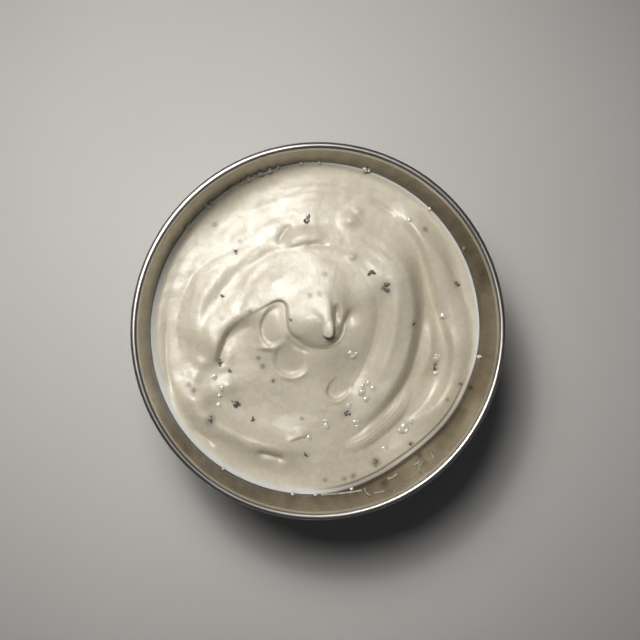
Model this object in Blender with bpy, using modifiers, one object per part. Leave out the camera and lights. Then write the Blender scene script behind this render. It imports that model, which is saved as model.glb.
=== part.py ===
"""Caesar dressing in a small round steel sauce cup.

Blender works in metres, +Z up. The origin is the centre of the cup's base.
The relief of the dressing is drawn in millimetres, seen from above, with x to
the right and y to the back; its heights are counted from the filling level.
"""
import bpy
import numpy as np
from math import cos, sin, tan, pi, degrees, radians

MM = 0.001

# ---- driving dimensions of the cup (mm) ----
RIM_DIAMETER = 70.0
CUP_HEIGHT = 38.0
SHEET = 0.6                 # thickness of the steel
BEAD_RADIUS = 0.65          # rolled rim
BEAD_GAP = 0.15             # under the curl of the rim, down to the outer face
WALL_DRAFT = radians(17.0)  # lean of the wall, out from the vertical
CORNER_RADIUS = 4.0         # inside, between floor and wall
CUP_STEPS = 64              # faces round the cup

# ---- driving dimensions of the dressing (mm) ----
FILL_LEVEL = 29.0           # height of the filling level above the table
WALL_GAP = 0.3              # clearance between dressing and steel
SPOKES = 96                 # faces round the dressing
CURL_RINGS = 6              # rings of points in the curl at the peak
TOP_RINGS = 34              # rings from the curl to the wall
RING_GROWTH = 1.15          # rings get wider towards the wall

PEAK_X, PEAK_Y = 0.5, 2.6   # foot of the peak, a little off the cup's axis
DOME_RADIUS = 6.1
DOME_TOP = 5.2              # above the filling level
CURL_RADIUS = 2.0           # where the curl grows out of the dome
TIP_RADIUS = 1.0
CURL_ROOT = 0.42            # share of the curl that narrows from the one to the other
CURL_FOOT = 0.12            # share of it that only blends into the dome
LEVEL_ZONE = 12.0           # the level is even inside this radius
LEVEL_DROP = 0.3            # the even part lies this much under the filling level

# height of the dressing along the wall, by direction in degrees
WALL_HEIGHTS = {0: 1.0, 45: 1.3, 90: 1.2, 112: 0.0, 138: -2.6, 165: -1.6,
                180: -0.8, 225: 0.3, 270: 0.1, 305: -1.8, 335: 0.2}

STEEL = (0.56, 0.53, 0.48, 1.0)
CREAM = (0.74, 0.67, 0.54, 1.0)
PEPPER = (0.035, 0.028, 0.022, 1.0)


# ---- helpers ----
def smooth(t):
    t = np.clip(t, 0, 1)
    return t * t * (3 - 2 * t)


def wall_radius(height):
    """Inner radius of the cup at a height above the filling level."""
    bead_x = RIM_DIAMETER / 2 - BEAD_RADIUS
    top = CUP_HEIGHT - BEAD_RADIUS - FILL_LEVEL
    return bead_x - BEAD_RADIUS - (top - height) * tan(WALL_DRAFT)


def wall_height(direction):
    """Height of the dressing where it meets the wall, by direction in radians."""
    angles = np.array(list(WALL_HEIGHTS), float)
    heights = np.array(list(WALL_HEIGHTS.values()))
    angles = np.concatenate([angles - 360, angles, angles + 360])
    heights = np.tile(heights, 3)
    degrees = np.degrees(direction) % 360
    k = np.searchsorted(angles, degrees, side="right") - 1
    share = smooth((degrees - angles[k]) / (angles[k + 1] - angles[k]))
    return heights[k] + (heights[k + 1] - heights[k]) * share


def curve(stations, steps=6):
    """Smooth curve through the stations (Catmull-Rom)."""
    p = np.array(stations, float)
    p = np.vstack([2 * p[0] - p[1], p, 2 * p[-1] - p[-2]])
    t = (np.arange(steps) / steps)[:, None]
    pieces = []
    for a, b, c, d in zip(p, p[1:], p[2:], p[3:]):
        cubic = (3 * b - 3 * c + d - a) * t ** 3
        square = (2 * a - 5 * b + 4 * c - d) * t ** 2
        pieces.append(0.5 * (2 * b + (c - a) * t + square + cubic))
    return np.vstack(pieces + [p[-2:-1]])


class Relief:
    """Height field over the points x, y. Each stroke of the spoon adds to it."""

    def __init__(self, x, y):
        self.x = x
        self.y = y
        self.z = np.zeros_like(x)

    def beside(self, stations):
        """Share along a stroke, signed distance from it (left +), and its widths."""
        path = curve(stations)
        line, widths = path[:, :2], path[:, 2:]
        run = line[1:] - line[:-1]
        length = np.hypot(run[:, 0], run[:, 1])
        start = np.concatenate([[0], np.cumsum(length)])
        nearest = np.full(self.x.shape, np.inf)
        distance = np.zeros(self.x.shape)
        share = np.zeros(self.x.shape)
        for (ax, ay), (rx, ry), size, gone in zip(line, run, length, start):
            along = ((self.x - ax) * rx + (self.y - ay) * ry) / size ** 2
            along = np.clip(along, 0, 1)
            dx = self.x - ax - along * rx
            dy = self.y - ay - along * ry
            apart = np.hypot(dx, dy)
            closer = apart < nearest
            side = np.where(rx * dy - ry * dx < 0, -1, 1)
            nearest = np.where(closer, apart, nearest)
            distance = np.where(closer, side * apart, distance)
            share = np.where(closer, (gone + along * size) / start[-1], share)
        known = start / start[-1]
        spread = [np.interp(share, known, column) for column in widths.T]
        return share, distance, spread

    def roll(self, height, left, right, stations, fade=(0.2, 0.2)):
        """Soft round ridge, or a trough where height is negative."""
        share, d, _ = self.beside(stations)
        width = np.where(d > 0, left, right)
        self.z += height * fade_ends(share, fade) * np.exp(-(d / width) ** 2)

    def arm(self, height, stations, fade=(0.2, 0.2), left=2.0, right=2.0):
        """Full ridge that ends in a corner. A station is x, y, left and right width."""
        share, d, (wide_left, wide_right) = self.beside(stations)
        u = np.abs(d) / np.where(d > 0, wide_left, wide_right)
        body = np.clip(1 - u ** np.where(d > 0, left, right), 0, 1)
        self.z += height * fade_ends(share, fade) * body

    def crease(self, depth, width, stations, fade=(0.25, 0.25)):
        """Sharp V notch, or a fine lip where depth is negative."""
        share, d, _ = self.beside(stations)
        notch = np.exp(-np.sqrt(d * d + (0.3 * width) ** 2) / width)
        self.z -= depth * fade_ends(share, fade) * notch

    def oval(self, x, y, radius_x, radius_y, turn):
        """Distance from an oval's centre, 1 on its edge."""
        c, s = cos(radians(turn)), sin(radians(turn))
        u = ((self.x - x) * c + (self.y - y) * s) / radius_x
        v = ((self.y - y) * c - (self.x - x) * s) / radius_y
        return np.hypot(u, v)

    def dent(self, depth, lip, x, y, radius_x, radius_y, turn=0):
        """Mark of the spoon's tip, with a raised lip."""
        q = self.oval(x, y, radius_x, radius_y, turn)
        self.z -= depth * np.clip(1 - q ** 3, 0, 1)
        self.z += lip * np.exp(-((q - 1.1) / 0.16) ** 2)

    def lump(self, height, x, y, radius_x, radius_y, turn=0):
        q = self.oval(x, y, radius_x, radius_y, turn)
        self.z += height * np.exp(-q * q)


def fade_ends(share, fade):
    return smooth(share / fade[0]) * smooth((1 - share) / fade[1])


# ---- the dressing's relief ----
def swirls(top):
    """The rings that the spoon left, from the outside in."""
    top.roll(1.3, 2.4, 3.0, [(15, 18), (8, 21.6), (0, 23.4), (-8, 22.2), (-14.2, 18.6),
             (-19, 13.8), (-22.3, 8.2), (-23.8, 1.5), (-24.2, -5), (-23.4, -9.5)])
    top.roll(1.3, 2.6, 2.2, [(-24.4, -9.5), (-22, -14.3), (-18, -17.6), (-13, -20.2),
             (-8.5, -22), (-3, -22.9), (3, -22.8)], fade=(0.2, 0.3))
    top.roll(-1.6, 2.4, 2.6, [(17, 17), (19.6, 13), (22, 7), (23.2, 1), (23.6, -5),
             (21.8, -11), (18, -15.2), (12, -18.5)], fade=(0.2, 0.3))
    top.arm(1.6, [(15, -21, 2, 5), (19.3, -18, 1.5, 5), (22.8, -15, 1.5, 5),
            (25.7, -11, 1.4, 5), (26.8, -7, 1.3, 4.5), (26.8, -3.4, 1.2, 4.5),
            (25.8, 1, 1.2, 5), (24.7, 4.8, 1.3, 5), (23.2, 8.6, 1.4, 5),
            (20.9, 13, 1.4, 5), (17.5, 16.9, 1.8, 4.5), (14, 20.2, 3, 4)], right=1.6)
    top.roll(0.7, 1.6, 1.6, [(13, 23), (17, 21), (20, 18), (23, 14), (25.6, 9.5), (27, 5)],
             fade=(0.3, 0.3))
    top.roll(2.2, 2.0, 2.4, [(6.5, -19), (11, -15.5), (14.5, -11.5), (16.8, -7), (18, -2),
             (18, 3), (17, 8.5), (15.2, 13.3), (12.5, 17.5)], fade=(0.25, 0.25))
    top.arm(1.3, [(11, 13.4, 1.6, 1.4), (12.9, 10.6, 1.6, 1.5), (14.2, 7.5, 1.5, 1.6),
            (14.8, 4, 1.5, 1.6), (14.4, 0, 1.5, 1.6), (13.5, -4, 1.5, 1.5),
            (12, -8, 1.6, 1.5), (9.5, -12, 1.6, 1.5)], fade=(0.3, 0.4))
    top.arm(0.8, [(-4.5, 17.4, 1, 2.4), (-9, 15.6, 1.2, 2.8), (-12.8, 13.2, 1.2, 2.8),
            (-17, 10.2, 1.2, 2.6), (-20.4, 5.5, 1, 2.2)], fade=(0.3, 0.3))


def main_arm(top):
    """The broad fold that leaves the peak and sweeps round the left side."""
    top.arm(2.7, [(6, 7.5, 3, 6), (1.5, 7.6, 3.6, 7.9), (-3.5, 7.7, 3.4, 7.2),
            (-8, 7.1, 3.2, 6.2), (-12.5, 4.7, 2.7, 5.2), (-16, 1.7, 2.3, 4.8),
            (-18.8, -1.9, 2, 3.7), (-20.1, -6, 1.8, 3), (-20.6, -9, 1.8, 3)],
            right=1.7)
    top.crease(0.9, 0.5, [(-10, 3.7), (-13.2, 1.7), (-16, -0.2), (-17.8, -2.4),
               (-18.5, -6.4)])
    top.crease(0.5, 0.5, [(2, 15.7), (-2, 15.8), (-7.5, 14.1), (-10.5, 12.6), (-15, 9.2),
               (-18.2, 6.9), (-20.4, 3.9), (-21.6, 0.8)])


def spoon_marks(top):
    """Dents of the spoon round the peak, and the ribbon it drew at the front right."""
    top.dent(1.7, 0.0, -7.0, 1.1, 3.5, 5.2, -14)
    top.dent(1.5, 0.2, -4.6, -5.1, 3.5, 3.5)
    top.dent(1.2, 0.0, 5.0, -10.4, 2.1, 4.0, -38)
    top.crease(-0.5, 0.3, [(2, -11.6), (2.6, -13.2), (4, -13.6), (6, -12.2), (7.4, -10.4)])
    top.arm(1.2, [(5, -23.2, 1, 1.5), (9, -21.8, 1.3, 2), (12.6, -19.4, 1.5, 2.4),
            (15.6, -16.6, 1.5, 2.4), (17.6, -13.4, 1.3, 2), (18.4, -10, 1, 1.5)],
            fade=(0.35, 0.35), left=1.5)
    top.crease(0.9, 0.5, [(-11.6, -23.1), (-9, -23.6), (-7, -24.2), (-5.3, -25)])


def small_folds(top):
    """Curled folds at the back and creases along the wall."""
    top.roll(1.0, 0.8, 1.0, [(2.5, 17.4), (0.3, 18.2), (-3.5, 18.1), (-6, 17)],
             fade=(0.4, 0.2))
    top.crease(0.9, 0.45, [(-7.2, 15.4), (-6.7, 17.2), (-5.7, 18.8), (-4.3, 19.9)])
    top.crease(0.6, 0.4, [(-2.5, 16.3), (0, 16.5), (2.6, 15.9)])
    top.crease(0.7, 0.7, [(-27.6, 4), (-28.1, -2), (-27.9, -7), (-27, -10.8),
               (-25.5, -13.4)])
    top.crease(0.8, 0.4, [(-24.5, -17.6), (-22.5, -19.2), (-20.5, -20.5), (-18.6, -22)])


# bits of cheese and garlic under the surface: height, x, y, width, depth
LUMPS = [(1.8, 6.4, 20.6, 1.6, 1.3), (0.7, 8.0, 22.4, 0.8, 0.8), (0.6, 6.6, 13.9, 0.7, 0.7),
         (1.2, -21.4, -6.2, 1.4, 1.0), (1.0, -22.6, -8.6, 1.2, 1.0),
         (1.7, -20.7, -12.6, 1.8, 1.4), (1.3, -16.6, -10.5, 1.7, 1.3)]


def lumps_and_hollows(top):
    for lump in LUMPS:
        top.lump(*lump)
    top.lump(1.5, 1.5, 6.0, 6.0, 7.0)        # the swell that carries the peak
    top.lump(0.9, 9.0, 11.0, 8.0, 8.0)
    top.lump(-2.2, 5.5, -6.5, 4.5, 3.2, -25)  # hollows in front of it
    top.lump(-1.2, 8.5, 1.0, 2.4, 4.0, 8)
    top.lump(-0.8, 0.5, -4.6, 4.4, 1.6)


def surface_height(x, y):
    """Height of the dressing's top, without the curl."""
    top = Relief(x, y)
    radius = np.hypot(x, y)
    rise = wall_height(np.arctan2(y, x))
    climb = smooth((radius - LEVEL_ZONE) / (wall_radius(0) - LEVEL_ZONE))
    top.z += rise * climb - LEVEL_DROP
    swirls(top)
    main_arm(top)
    spoon_marks(top)
    small_folds(top)
    lumps_and_hollows(top)
    raise_dome(top)
    return top.z


def raise_dome(top):
    """The dome of the peak, with the folds on its right side and round its foot."""
    q = np.hypot(top.x - PEAK_X, top.y - PEAK_Y) / DOME_RADIUS
    foot = -2.5    # under the surface all round, so that the dome's edge is hidden
    crown = 2.3    # a flatter top
    flank = 0.62   # and a steeper side than a ball
    dome = foot + (DOME_TOP - foot) * np.clip(1 - q ** crown, 0, 1) ** flank
    blend = 0.25
    top.z = (top.z + dome + np.sqrt((top.z - dome) ** 2 + blend ** 2)) / 2
    top.crease(1.3, 0.45, [(3.2, 6), (3.55, 4.2), (3.5, 2.4), (3, 0.8)])
    top.crease(1.6, 0.7, [(4.8, 6.6), (6.1, 4.6), (6.4, 2), (5.6, -0.6)])
    top.crease(0.6, 0.4, [(-5.3, 0.6), (-4.6, -1.2), (-2.8, -3), (-0.2, -3.9)])


# axis of the curl, from the middle of the dome's top: pulled up, then fallen forwards
CURL_AXIS = [(0, 0, 0), (0.0, -0.1, 0.9), (0.25, -0.9, 1.75), (0.65, -1.9, 1.95),
             (1.0, -2.9, 1.55)]


def curl(share, direction):
    """Points on the curl. share runs from 0 at its root to 1 at its tip."""
    axis = curve(CURL_AXIS, 12)
    narrowed = smooth(share / CURL_ROOT)
    root_radius = CURL_RADIUS + (TIP_RADIUS - CURL_RADIUS) * narrowed
    end = np.clip((share - CURL_ROOT) / (1 - CURL_ROOT), 0, 1)
    radius = np.where(share < CURL_ROOT, root_radius, TIP_RADIUS * np.sqrt(1 - end ** 3))
    place = np.clip((share - CURL_FOOT) / (1 - CURL_FOOT), 0, 1) * (len(axis) - 1)
    k = np.minimum(place.astype(int), len(axis) - 2)
    part = (place - k)[:, None]
    centre = axis[k] * (1 - part) + axis[k + 1] * part
    heading = np.gradient(axis, axis=0)
    heading = heading[k] * (1 - part) + heading[k + 1] * part
    heading /= np.linalg.norm(heading, axis=1)[:, None]
    bent = narrowed[:, None]
    heading = heading * bent + np.array([0, 0, 1.0]) * (1 - bent)
    across = np.cross(np.array([0, 1.0, 0]), heading)
    across /= np.linalg.norm(across, axis=1)[:, None]
    forward = np.cross(heading, across)
    offset = np.cos(direction)[:, None] * across + np.sin(direction)[:, None] * forward
    return centre + offset * radius[:, None]


def dressing_top(x, y):
    """The finished top over the plan points x, y."""
    z = surface_height(x, y)
    points = np.stack([x, y, z], axis=1)
    away = np.hypot(x - PEAK_X, y - PEAK_Y)
    inside = away < CURL_RADIUS - 1e-6
    share = 1 - away[inside] / CURL_RADIUS
    direction = np.arctan2(y[inside] - PEAK_Y, x[inside] - PEAK_X)
    loose = smooth(share / CURL_ROOT)
    level = z[inside] * (1 - loose) + (DOME_TOP - LEVEL_DROP) * loose
    points[inside] = curl(share, direction)
    points[inside] += np.stack([np.full(level.shape, PEAK_X),
                                np.full(level.shape, PEAK_Y), level], axis=1)
    return points


# ---- pepper: x, y, size, and how far it has sunk (0 lies on top, 1 is just covered) ----
FLECKS = [(10.2, 11.0, 1.0, 0.3), (12.9, 8.4, 0.8, 0.3), (13.3, 7.5, 0.8, 0.3),
          (27.2, 8.6, 0.9, 0.3), (-15.0, 14.9, 0.8, 0.3), (-17.6, 6.5, 0.7, 0.3),
          (-1.4, 21.3, 0.9, 0.3), (-1.8, 20.3, 0.9, 0.3), (-18.0, -6.2, 1.1, 0.3),
          (-16.3, -7.6, 0.8, 0.3), (-15.0, -13.8, 1.3, 0.4), (-19.9, -16.8, 1.1, 0.5),
          (-11.7, -17.0, 0.8, 0.4), (5.9, -16.0, 1.0, 0.4), (18.7, -22.1, 0.8, 0.4),
          (12.0, -25.5, 1.0, 0.5), (-1.8, -23.7, 0.7, 0.4), (-8.0, -9.4, 0.7, 0.4),
          (28.2, -10.5, 0.7, 0.4), (-5.1, 2.1, 0.8, 0.3), (23.6, -7.3, 0.8, 0.4)]
FLECK_SHAPE = np.array([0.5, 0.36, 0.34])   # half length, width and height of size 1
FLECK_LIFT = 0.55                           # of the half height, before it sinks


# ---- Blender ----
def clear_scene():
    for item in list(bpy.data.objects):
        bpy.data.objects.remove(item, do_unlink=True)


def new_collection(name):
    collection = bpy.data.collections.new(name)
    bpy.context.scene.collection.children.link(collection)
    return collection


def material(name, colour, roughness, metallic):
    made = bpy.data.materials.new(name)
    made.use_nodes = True
    shader = made.node_tree.nodes["Principled BSDF"]
    shader.inputs["Base Color"].default_value = colour
    shader.inputs["Roughness"].default_value = roughness
    shader.inputs["Metallic"].default_value = metallic
    made.diffuse_color = colour
    return made


def turned(name, profile, steps, collection):
    """Object turned from a profile of (radius, height) in mm, with a Screw modifier."""
    mesh = bpy.data.meshes.new(name)
    points = [(r * MM, 0, z * MM) for r, z in profile]
    mesh.from_pydata(points, [(k, k + 1) for k in range(len(points) - 1)], [])
    made = bpy.data.objects.new(name, mesh)
    collection.objects.link(made)
    screw = made.modifiers.new("turn", "SCREW")
    screw.steps = steps
    screw.render_steps = steps
    screw.use_merge_vertices = True
    screw.merge_threshold = 0.00001
    return made


def baked(made):
    """Replace an object's mesh by its evaluated one and drop its modifiers."""
    graph = bpy.context.evaluated_depsgraph_get()
    mesh = bpy.data.meshes.new_from_object(made.evaluated_get(graph))
    made.modifiers.clear()
    made.data = mesh
    return made


def arc(centre_x, centre_z, radius, start, end, steps):
    """Points on an arc; angles in degrees from +X towards +Z."""
    angles = [radians(start + (end - start) * k / steps) for k in range(steps + 1)]
    return [(centre_x + radius * cos(a), centre_z + radius * sin(a)) for a in angles]


def wall_line(offset, height):
    """Radius of the wall's inner face plus an offset outwards, at a height over the table."""
    return wall_radius(height - FILL_LEVEL) + offset / cos(WALL_DRAFT)


def corner(offset, floor, radius, steps):
    """Arc from the wall down to a floor, for the face that is offset from the inner one."""
    tilt = 90 - degrees(WALL_DRAFT)
    centre_z = floor + radius
    centre_x = wall_line(offset, centre_z) - radius / cos(WALL_DRAFT)
    return arc(centre_x, centre_z, radius, tilt - 90, -90, steps)


def make_cup(collection):
    """Tapered cup of thin sheet with a rolled rim and a plain flat base."""
    bead_x = RIM_DIAMETER / 2 - BEAD_RADIUS
    bead_z = CUP_HEIGHT - BEAD_RADIUS
    under_bead = bead_z - BEAD_RADIUS - BEAD_GAP
    inside = corner(0, SHEET, CORNER_RADIUS, 4)[::-1]
    bead = arc(bead_x, bead_z, BEAD_RADIUS, 180, -110, 10)
    outside = [(wall_line(SHEET, under_bead), under_bead)]
    outside += corner(SHEET, 0, CORNER_RADIUS + SHEET, 4)
    profile = [(0, SHEET)] + inside + bead + outside + [(0, 0)]
    cup = turned("sauce_cup", profile, CUP_STEPS, collection)
    cup.data.materials.append(material("steel", STEEL, 0.25, 1.0))
    return cup


def dressing_blank(collection):
    """Plug that fills the cup to the filling level, with a flat top to be shaped."""
    edge = wall_line(-WALL_GAP, FILL_LEVEL)
    curl_rings = [CURL_RADIUS * k / CURL_RINGS for k in range(CURL_RINGS)]
    shares = [(k / TOP_RINGS) ** RING_GROWTH for k in range(TOP_RINGS + 1)]
    rings = curl_rings + [CURL_RADIUS + (edge - CURL_RADIUS) * share for share in shares]
    top = [(r, FILL_LEVEL) for r in rings]
    floor = SHEET + WALL_GAP
    side = corner(-WALL_GAP, floor, CORNER_RADIUS - WALL_GAP, 3)
    return baked(turned("dressing", top + side + [(0, floor)], SPOKES, collection))


def shape_top(mesh):
    """Move the flat top of the blank to the relief, and its side up or down to meet it."""
    count = len(mesh.vertices)
    flat = np.empty(count * 3)
    mesh.vertices.foreach_get("co", flat)
    points = flat.reshape(-1, 3) / MM
    radius = np.hypot(points[:, 0], points[:, 1])
    direction = np.arctan2(points[:, 1], points[:, 0])
    blank_edge = wall_line(-WALL_GAP, FILL_LEVEL)
    rise = wall_height(direction)
    top = points[:, 2] > FILL_LEVEL - 0.01
    share = radius / blank_edge
    # plan of the top: spokes run from the peak to the wall, wherever the level is there
    reach = wall_line(-WALL_GAP, FILL_LEVEL + rise)
    start = CURL_RADIUS / blank_edge
    drift = 1 - smooth((share - start) / (1 - start))
    x = radius * np.cos(direction) * reach / blank_edge + PEAK_X * drift
    y = radius * np.sin(direction) * reach / blank_edge + PEAK_Y * drift
    round_curl = share <= start + 1e-6
    x = np.where(round_curl, radius * np.cos(direction) + PEAK_X, x)
    y = np.where(round_curl, radius * np.sin(direction) + PEAK_Y, y)
    shaped = dressing_top(x[top], y[top])
    shaped[:, 2] += FILL_LEVEL
    rim = radius[top] > blank_edge - 0.01
    shaped[rim, 2] = FILL_LEVEL + rise[top][rim]
    points[top] = shaped
    mesh.vertices.foreach_set("co", (points * MM).ravel())
    mesh.update()


def make_flecks(pepper):
    """Crushed peppercorn: small squashed balls, half sunk in the surface."""
    flecks = new_collection("pepper")
    rng = np.random.default_rng(4)
    for k, (x, y, size, sunk) in enumerate(FLECKS):
        bpy.ops.mesh.primitive_uv_sphere_add(segments=6, ring_count=4, radius=1.0)
        fleck = bpy.context.object
        fleck.name = f"fleck_{k}"
        place = dressing_top(np.array([x]), np.array([y]))[0]
        half = size * FLECK_SHAPE * rng.uniform(0.85, 1.15, 3)
        lift = half[2] * (FLECK_LIFT - sunk)
        turn = rng.uniform(0, pi)
        for vertex in fleck.data.vertices:
            u, v, w = np.array(vertex.co) * half
            vertex.co = ((place[0] + u * cos(turn) - v * sin(turn)) * MM,
                         (place[1] + u * sin(turn) + v * cos(turn)) * MM,
                         (place[2] + FILL_LEVEL + lift + w) * MM)
        fleck.data.materials.append(pepper)
        for owner in list(fleck.users_collection):
            owner.objects.unlink(fleck)
        flecks.objects.link(fleck)
    return flecks


def fuse(made, pieces):
    """Join a collection of small pieces to an object and remove them."""
    union = made.modifiers.new("fuse", "BOOLEAN")
    union.operation = "UNION"
    union.operand_type = "COLLECTION"
    union.collection = pieces
    union.solver = "MANIFOLD"
    baked(made)
    for piece in list(pieces.objects):
        bpy.data.objects.remove(piece, do_unlink=True)
    bpy.data.collections.remove(pieces)


def make_dressing(collection):
    dressing = dressing_blank(collection)
    dressing.data.materials.append(material("cream_dressing", CREAM, 0.4, 0.0))
    shape_top(dressing.data)
    pepper = material("pepper", PEPPER, 0.6, 0.0)
    fuse(dressing, make_flecks(pepper))
    return dressing


def main():
    clear_scene()
    collection = new_collection("caesar_dressing")
    cup = make_cup(collection)
    dressing = make_dressing(collection)
    for made in (cup, dressing):
        made.data.shade_smooth()
        made.data.set_sharp_from_angle(angle=radians(40))


main()
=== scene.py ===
# %% [markdown]
# # A steel sauce cup filled with creamy dressing
# The object is a small round cup of thin stainless steel, photographed almost
# straight from above, and full of a thick cream dressing. What makes it worth
# looking at is the dressing: a spoon has left broad swirls in it, and lifted a
# soft peak with a small tip that has fallen over. The steel is simple, so most
# of this lesson goes to the surface of the food.
#
# We work in real sizes. Lists are written in millimetres, because a cook's cup
# is easy to think about that way, and one factor turns them into metres.

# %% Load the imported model
import bpy
import numpy as np
import random
from math import sin, cos, tan, radians, degrees, pi
from mathutils import Vector, Matrix, noise


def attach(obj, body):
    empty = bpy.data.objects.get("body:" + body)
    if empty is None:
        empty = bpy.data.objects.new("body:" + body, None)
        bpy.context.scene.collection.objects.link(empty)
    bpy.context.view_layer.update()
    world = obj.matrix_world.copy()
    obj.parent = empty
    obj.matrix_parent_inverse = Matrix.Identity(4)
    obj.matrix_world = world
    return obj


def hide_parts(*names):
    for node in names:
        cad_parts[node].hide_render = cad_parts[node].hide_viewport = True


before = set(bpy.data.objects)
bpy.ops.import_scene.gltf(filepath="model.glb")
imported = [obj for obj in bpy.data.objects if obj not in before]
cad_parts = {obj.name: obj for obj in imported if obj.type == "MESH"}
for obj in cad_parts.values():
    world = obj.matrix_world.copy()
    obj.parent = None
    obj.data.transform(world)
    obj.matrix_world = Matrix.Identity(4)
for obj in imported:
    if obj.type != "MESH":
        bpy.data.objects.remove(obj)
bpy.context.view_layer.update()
MM = 0.001


# %% [markdown]
# ## The camera
# The photograph looks down into the cup, leaning only a few degrees to the
# left, so the rim is nearly a circle and a little more of the right wall shows.
# A long lens from a third of a metre away gives the same mild perspective. The
# aim point is in the plane of the rim, since the rim is what was measured.

# %% Camera above the cup
CAMERA_LEAN = radians(7.7)        # off the vertical
CAMERA_SIDE = radians(164)        # the direction it leans to
CAMERA_DISTANCE = 328 * MM
CAMERA_AIM = Vector((-0.16, 2.19, 38)) * MM

to_camera = Vector((sin(CAMERA_LEAN) * cos(CAMERA_SIDE),
                    sin(CAMERA_LEAN) * sin(CAMERA_SIDE), cos(CAMERA_LEAN)))
picture_right = Vector((0, 1, 0)).cross(to_camera).normalized()
picture_up = to_camera.cross(picture_right)
camera_data = bpy.data.cameras.new("camera")
camera_data.lens = 100
camera = bpy.data.objects.new("camera", camera_data)
bpy.context.scene.collection.objects.link(camera)
turned = Matrix((picture_right, picture_up, to_camera)).transposed().to_4x4()
camera.matrix_world = Matrix.Translation(CAMERA_AIM + to_camera * CAMERA_DISTANCE) @ turned
bpy.context.scene.camera = camera
print("camera height above the table (mm):", round(camera.matrix_world.translation.z / MM))

# %% [markdown]
# ## The light
# The shadows in the dressing all fall to the lower right, so the main lamp
# stands at the upper left. It is a round softbox with a narrow spread, aimed a
# little past the cup, so the dressing is brighter on that side, as it is in
# the photograph. A much smaller lamp in the same place puts a sharp point of
# light on each wet grain. A weak lamp from the lower right draws the second,
# fine line of light on the rim, and a dim sky keeps the shadows open.

# %% Lamps and sky
CUP_MIDDLE = (0, 0, 30)    # the point that the lamps stand round
UPPER_LEFT = {"azimuth": 128, "elevation": 63, "distance": 450,
              "tint": (1, 0.98, 0.955), "aim": (-18, 22, 30), "spread": 40}


def studio_lamp(name, azimuth, elevation, distance, width, power, tint, aim, spread=180):
    """Round lamp. Angles are in degrees, lengths in millimetres, power in watts."""
    lamp_data = bpy.data.lights.new(name, "AREA")
    lamp_data.shape = "DISK"
    lamp_data.size = width * MM
    lamp_data.energy = power
    lamp_data.color = tint
    lamp_data.spread = radians(spread)
    lamp = bpy.data.objects.new(name, lamp_data)
    bpy.context.scene.collection.objects.link(lamp)
    around, up = radians(azimuth), radians(elevation)
    towards = Vector((cos(around) * cos(up), sin(around) * cos(up), sin(up)))
    lamp.location = towards * distance * MM + Vector(CUP_MIDDLE) * MM
    line = Vector(aim) * MM - lamp.location
    lamp.rotation_euler = line.to_track_quat("-Z", "Y").to_euler()


studio_lamp("main_softbox", width=180, power=0.07, **UPPER_LEFT)
studio_lamp("wet_points", width=40, power=0.009, **UPPER_LEFT)
studio_lamp("low_fill", azimuth=-68, elevation=60, distance=700, width=120, power=0.01,
            tint=(1, 0.98, 0.95), aim=CUP_MIDDLE)
sky = bpy.data.worlds.new("sky")
bpy.context.scene.world = sky
sky.use_nodes = True
background = sky.node_tree.nodes["Background"].inputs
background["Color"].default_value = (0.9, 0.93, 1.0, 1)
background["Strength"].default_value = 0.05
bpy.context.scene.view_settings.view_transform = "Standard"
bpy.context.scene.view_settings.look = "High Contrast"

# %% [markdown]
# ## Building materials from nodes
# Every finish below is a small tree of nodes. This helper adds a node, sets
# its plain values, and joins its inputs to other nodes, so a tree reads from
# top to bottom like a recipe. A value that is the same all over the surface
# stays on the shader's own socket.

# %% Node helper
def node(tree, kind, values={}, links={}, **settings):
    """A node with plain values and links, both by the name or number of the input."""
    made = tree.nodes.new(kind)
    for key, value in settings.items():
        setattr(made, key, value)
    for key, value in values.items():
        made.inputs[key].default_value = value
    for key, source in links.items():
        tree.links.new(source, made.inputs[key])
    return made


# %% [markdown]
# The finishes need only a few kinds of node: one that mixes two colours, one
# that stretches a span of values, one that reckons, noise, and relief in the
# shading. Each gets a helper of its own.

# %% Helpers for finishes
def new_finish(name):
    """An empty material with one Principled shader, its tree, and the place of a point."""
    finish = bpy.data.materials.new(name)
    finish.use_nodes = True
    tree = finish.node_tree
    place = node(tree, "ShaderNodeTexCoord").outputs["Object"]
    return finish, tree, tree.nodes["Principled BSDF"], place


def blended(tree, share, low, high):
    """Mixes two colours by a node output. A colour is a tuple or a node output."""
    mix = node(tree, "ShaderNodeMix", links={0: share}, data_type="RGBA")
    for socket, value in ((mix.inputs[6], low), (mix.inputs[7], high)):
        if isinstance(value, tuple):
            socket.default_value = (*value, 1)
        else:
            tree.links.new(value, socket)
    return mix.outputs[2]


def ranged(tree, source, low, high, to_low=0.0, to_high=1.0):
    """Stretches a span of values over another span, and holds it there."""
    return node(tree, "ShaderNodeMapRange", {1: low, 2: high, 3: to_low, 4: to_high},
                {0: source}).outputs[0]


def reckoned(tree, operation, first, second):
    """Adds, subtracts or multiplies two node outputs."""
    return node(tree, "ShaderNodeMath", links={0: first, 1: second},
                operation=operation).outputs[0]


def grain(tree, place, size, detail=2.0, roughness=0.5, squeeze=(1, 1, 1)):
    """Noise with lumps of about that size in millimetres."""
    mapped = node(tree, "ShaderNodeMapping", {"Scale": squeeze}, {"Vector": place})
    made = node(tree, "ShaderNodeTexNoise",
                {"Scale": 1 / (size * MM), "Detail": detail, "Roughness": roughness},
                {"Vector": mapped.outputs[0]})
    return made.outputs["Fac"]


def bumped(tree, height, depth):
    """Turns a height between 0 and 1 into shading relief, depth in millimetres."""
    return node(tree, "ShaderNodeBump", {"Strength": 1.0, "Distance": depth * MM},
                {"Height": height}).outputs[0]


# %% [markdown]
# ## The floor
# The cup stands on a plain pale sheet, which is part of the stage and not of
# the object. Its tone is soft and a little uneven, like thick paper.

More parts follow.
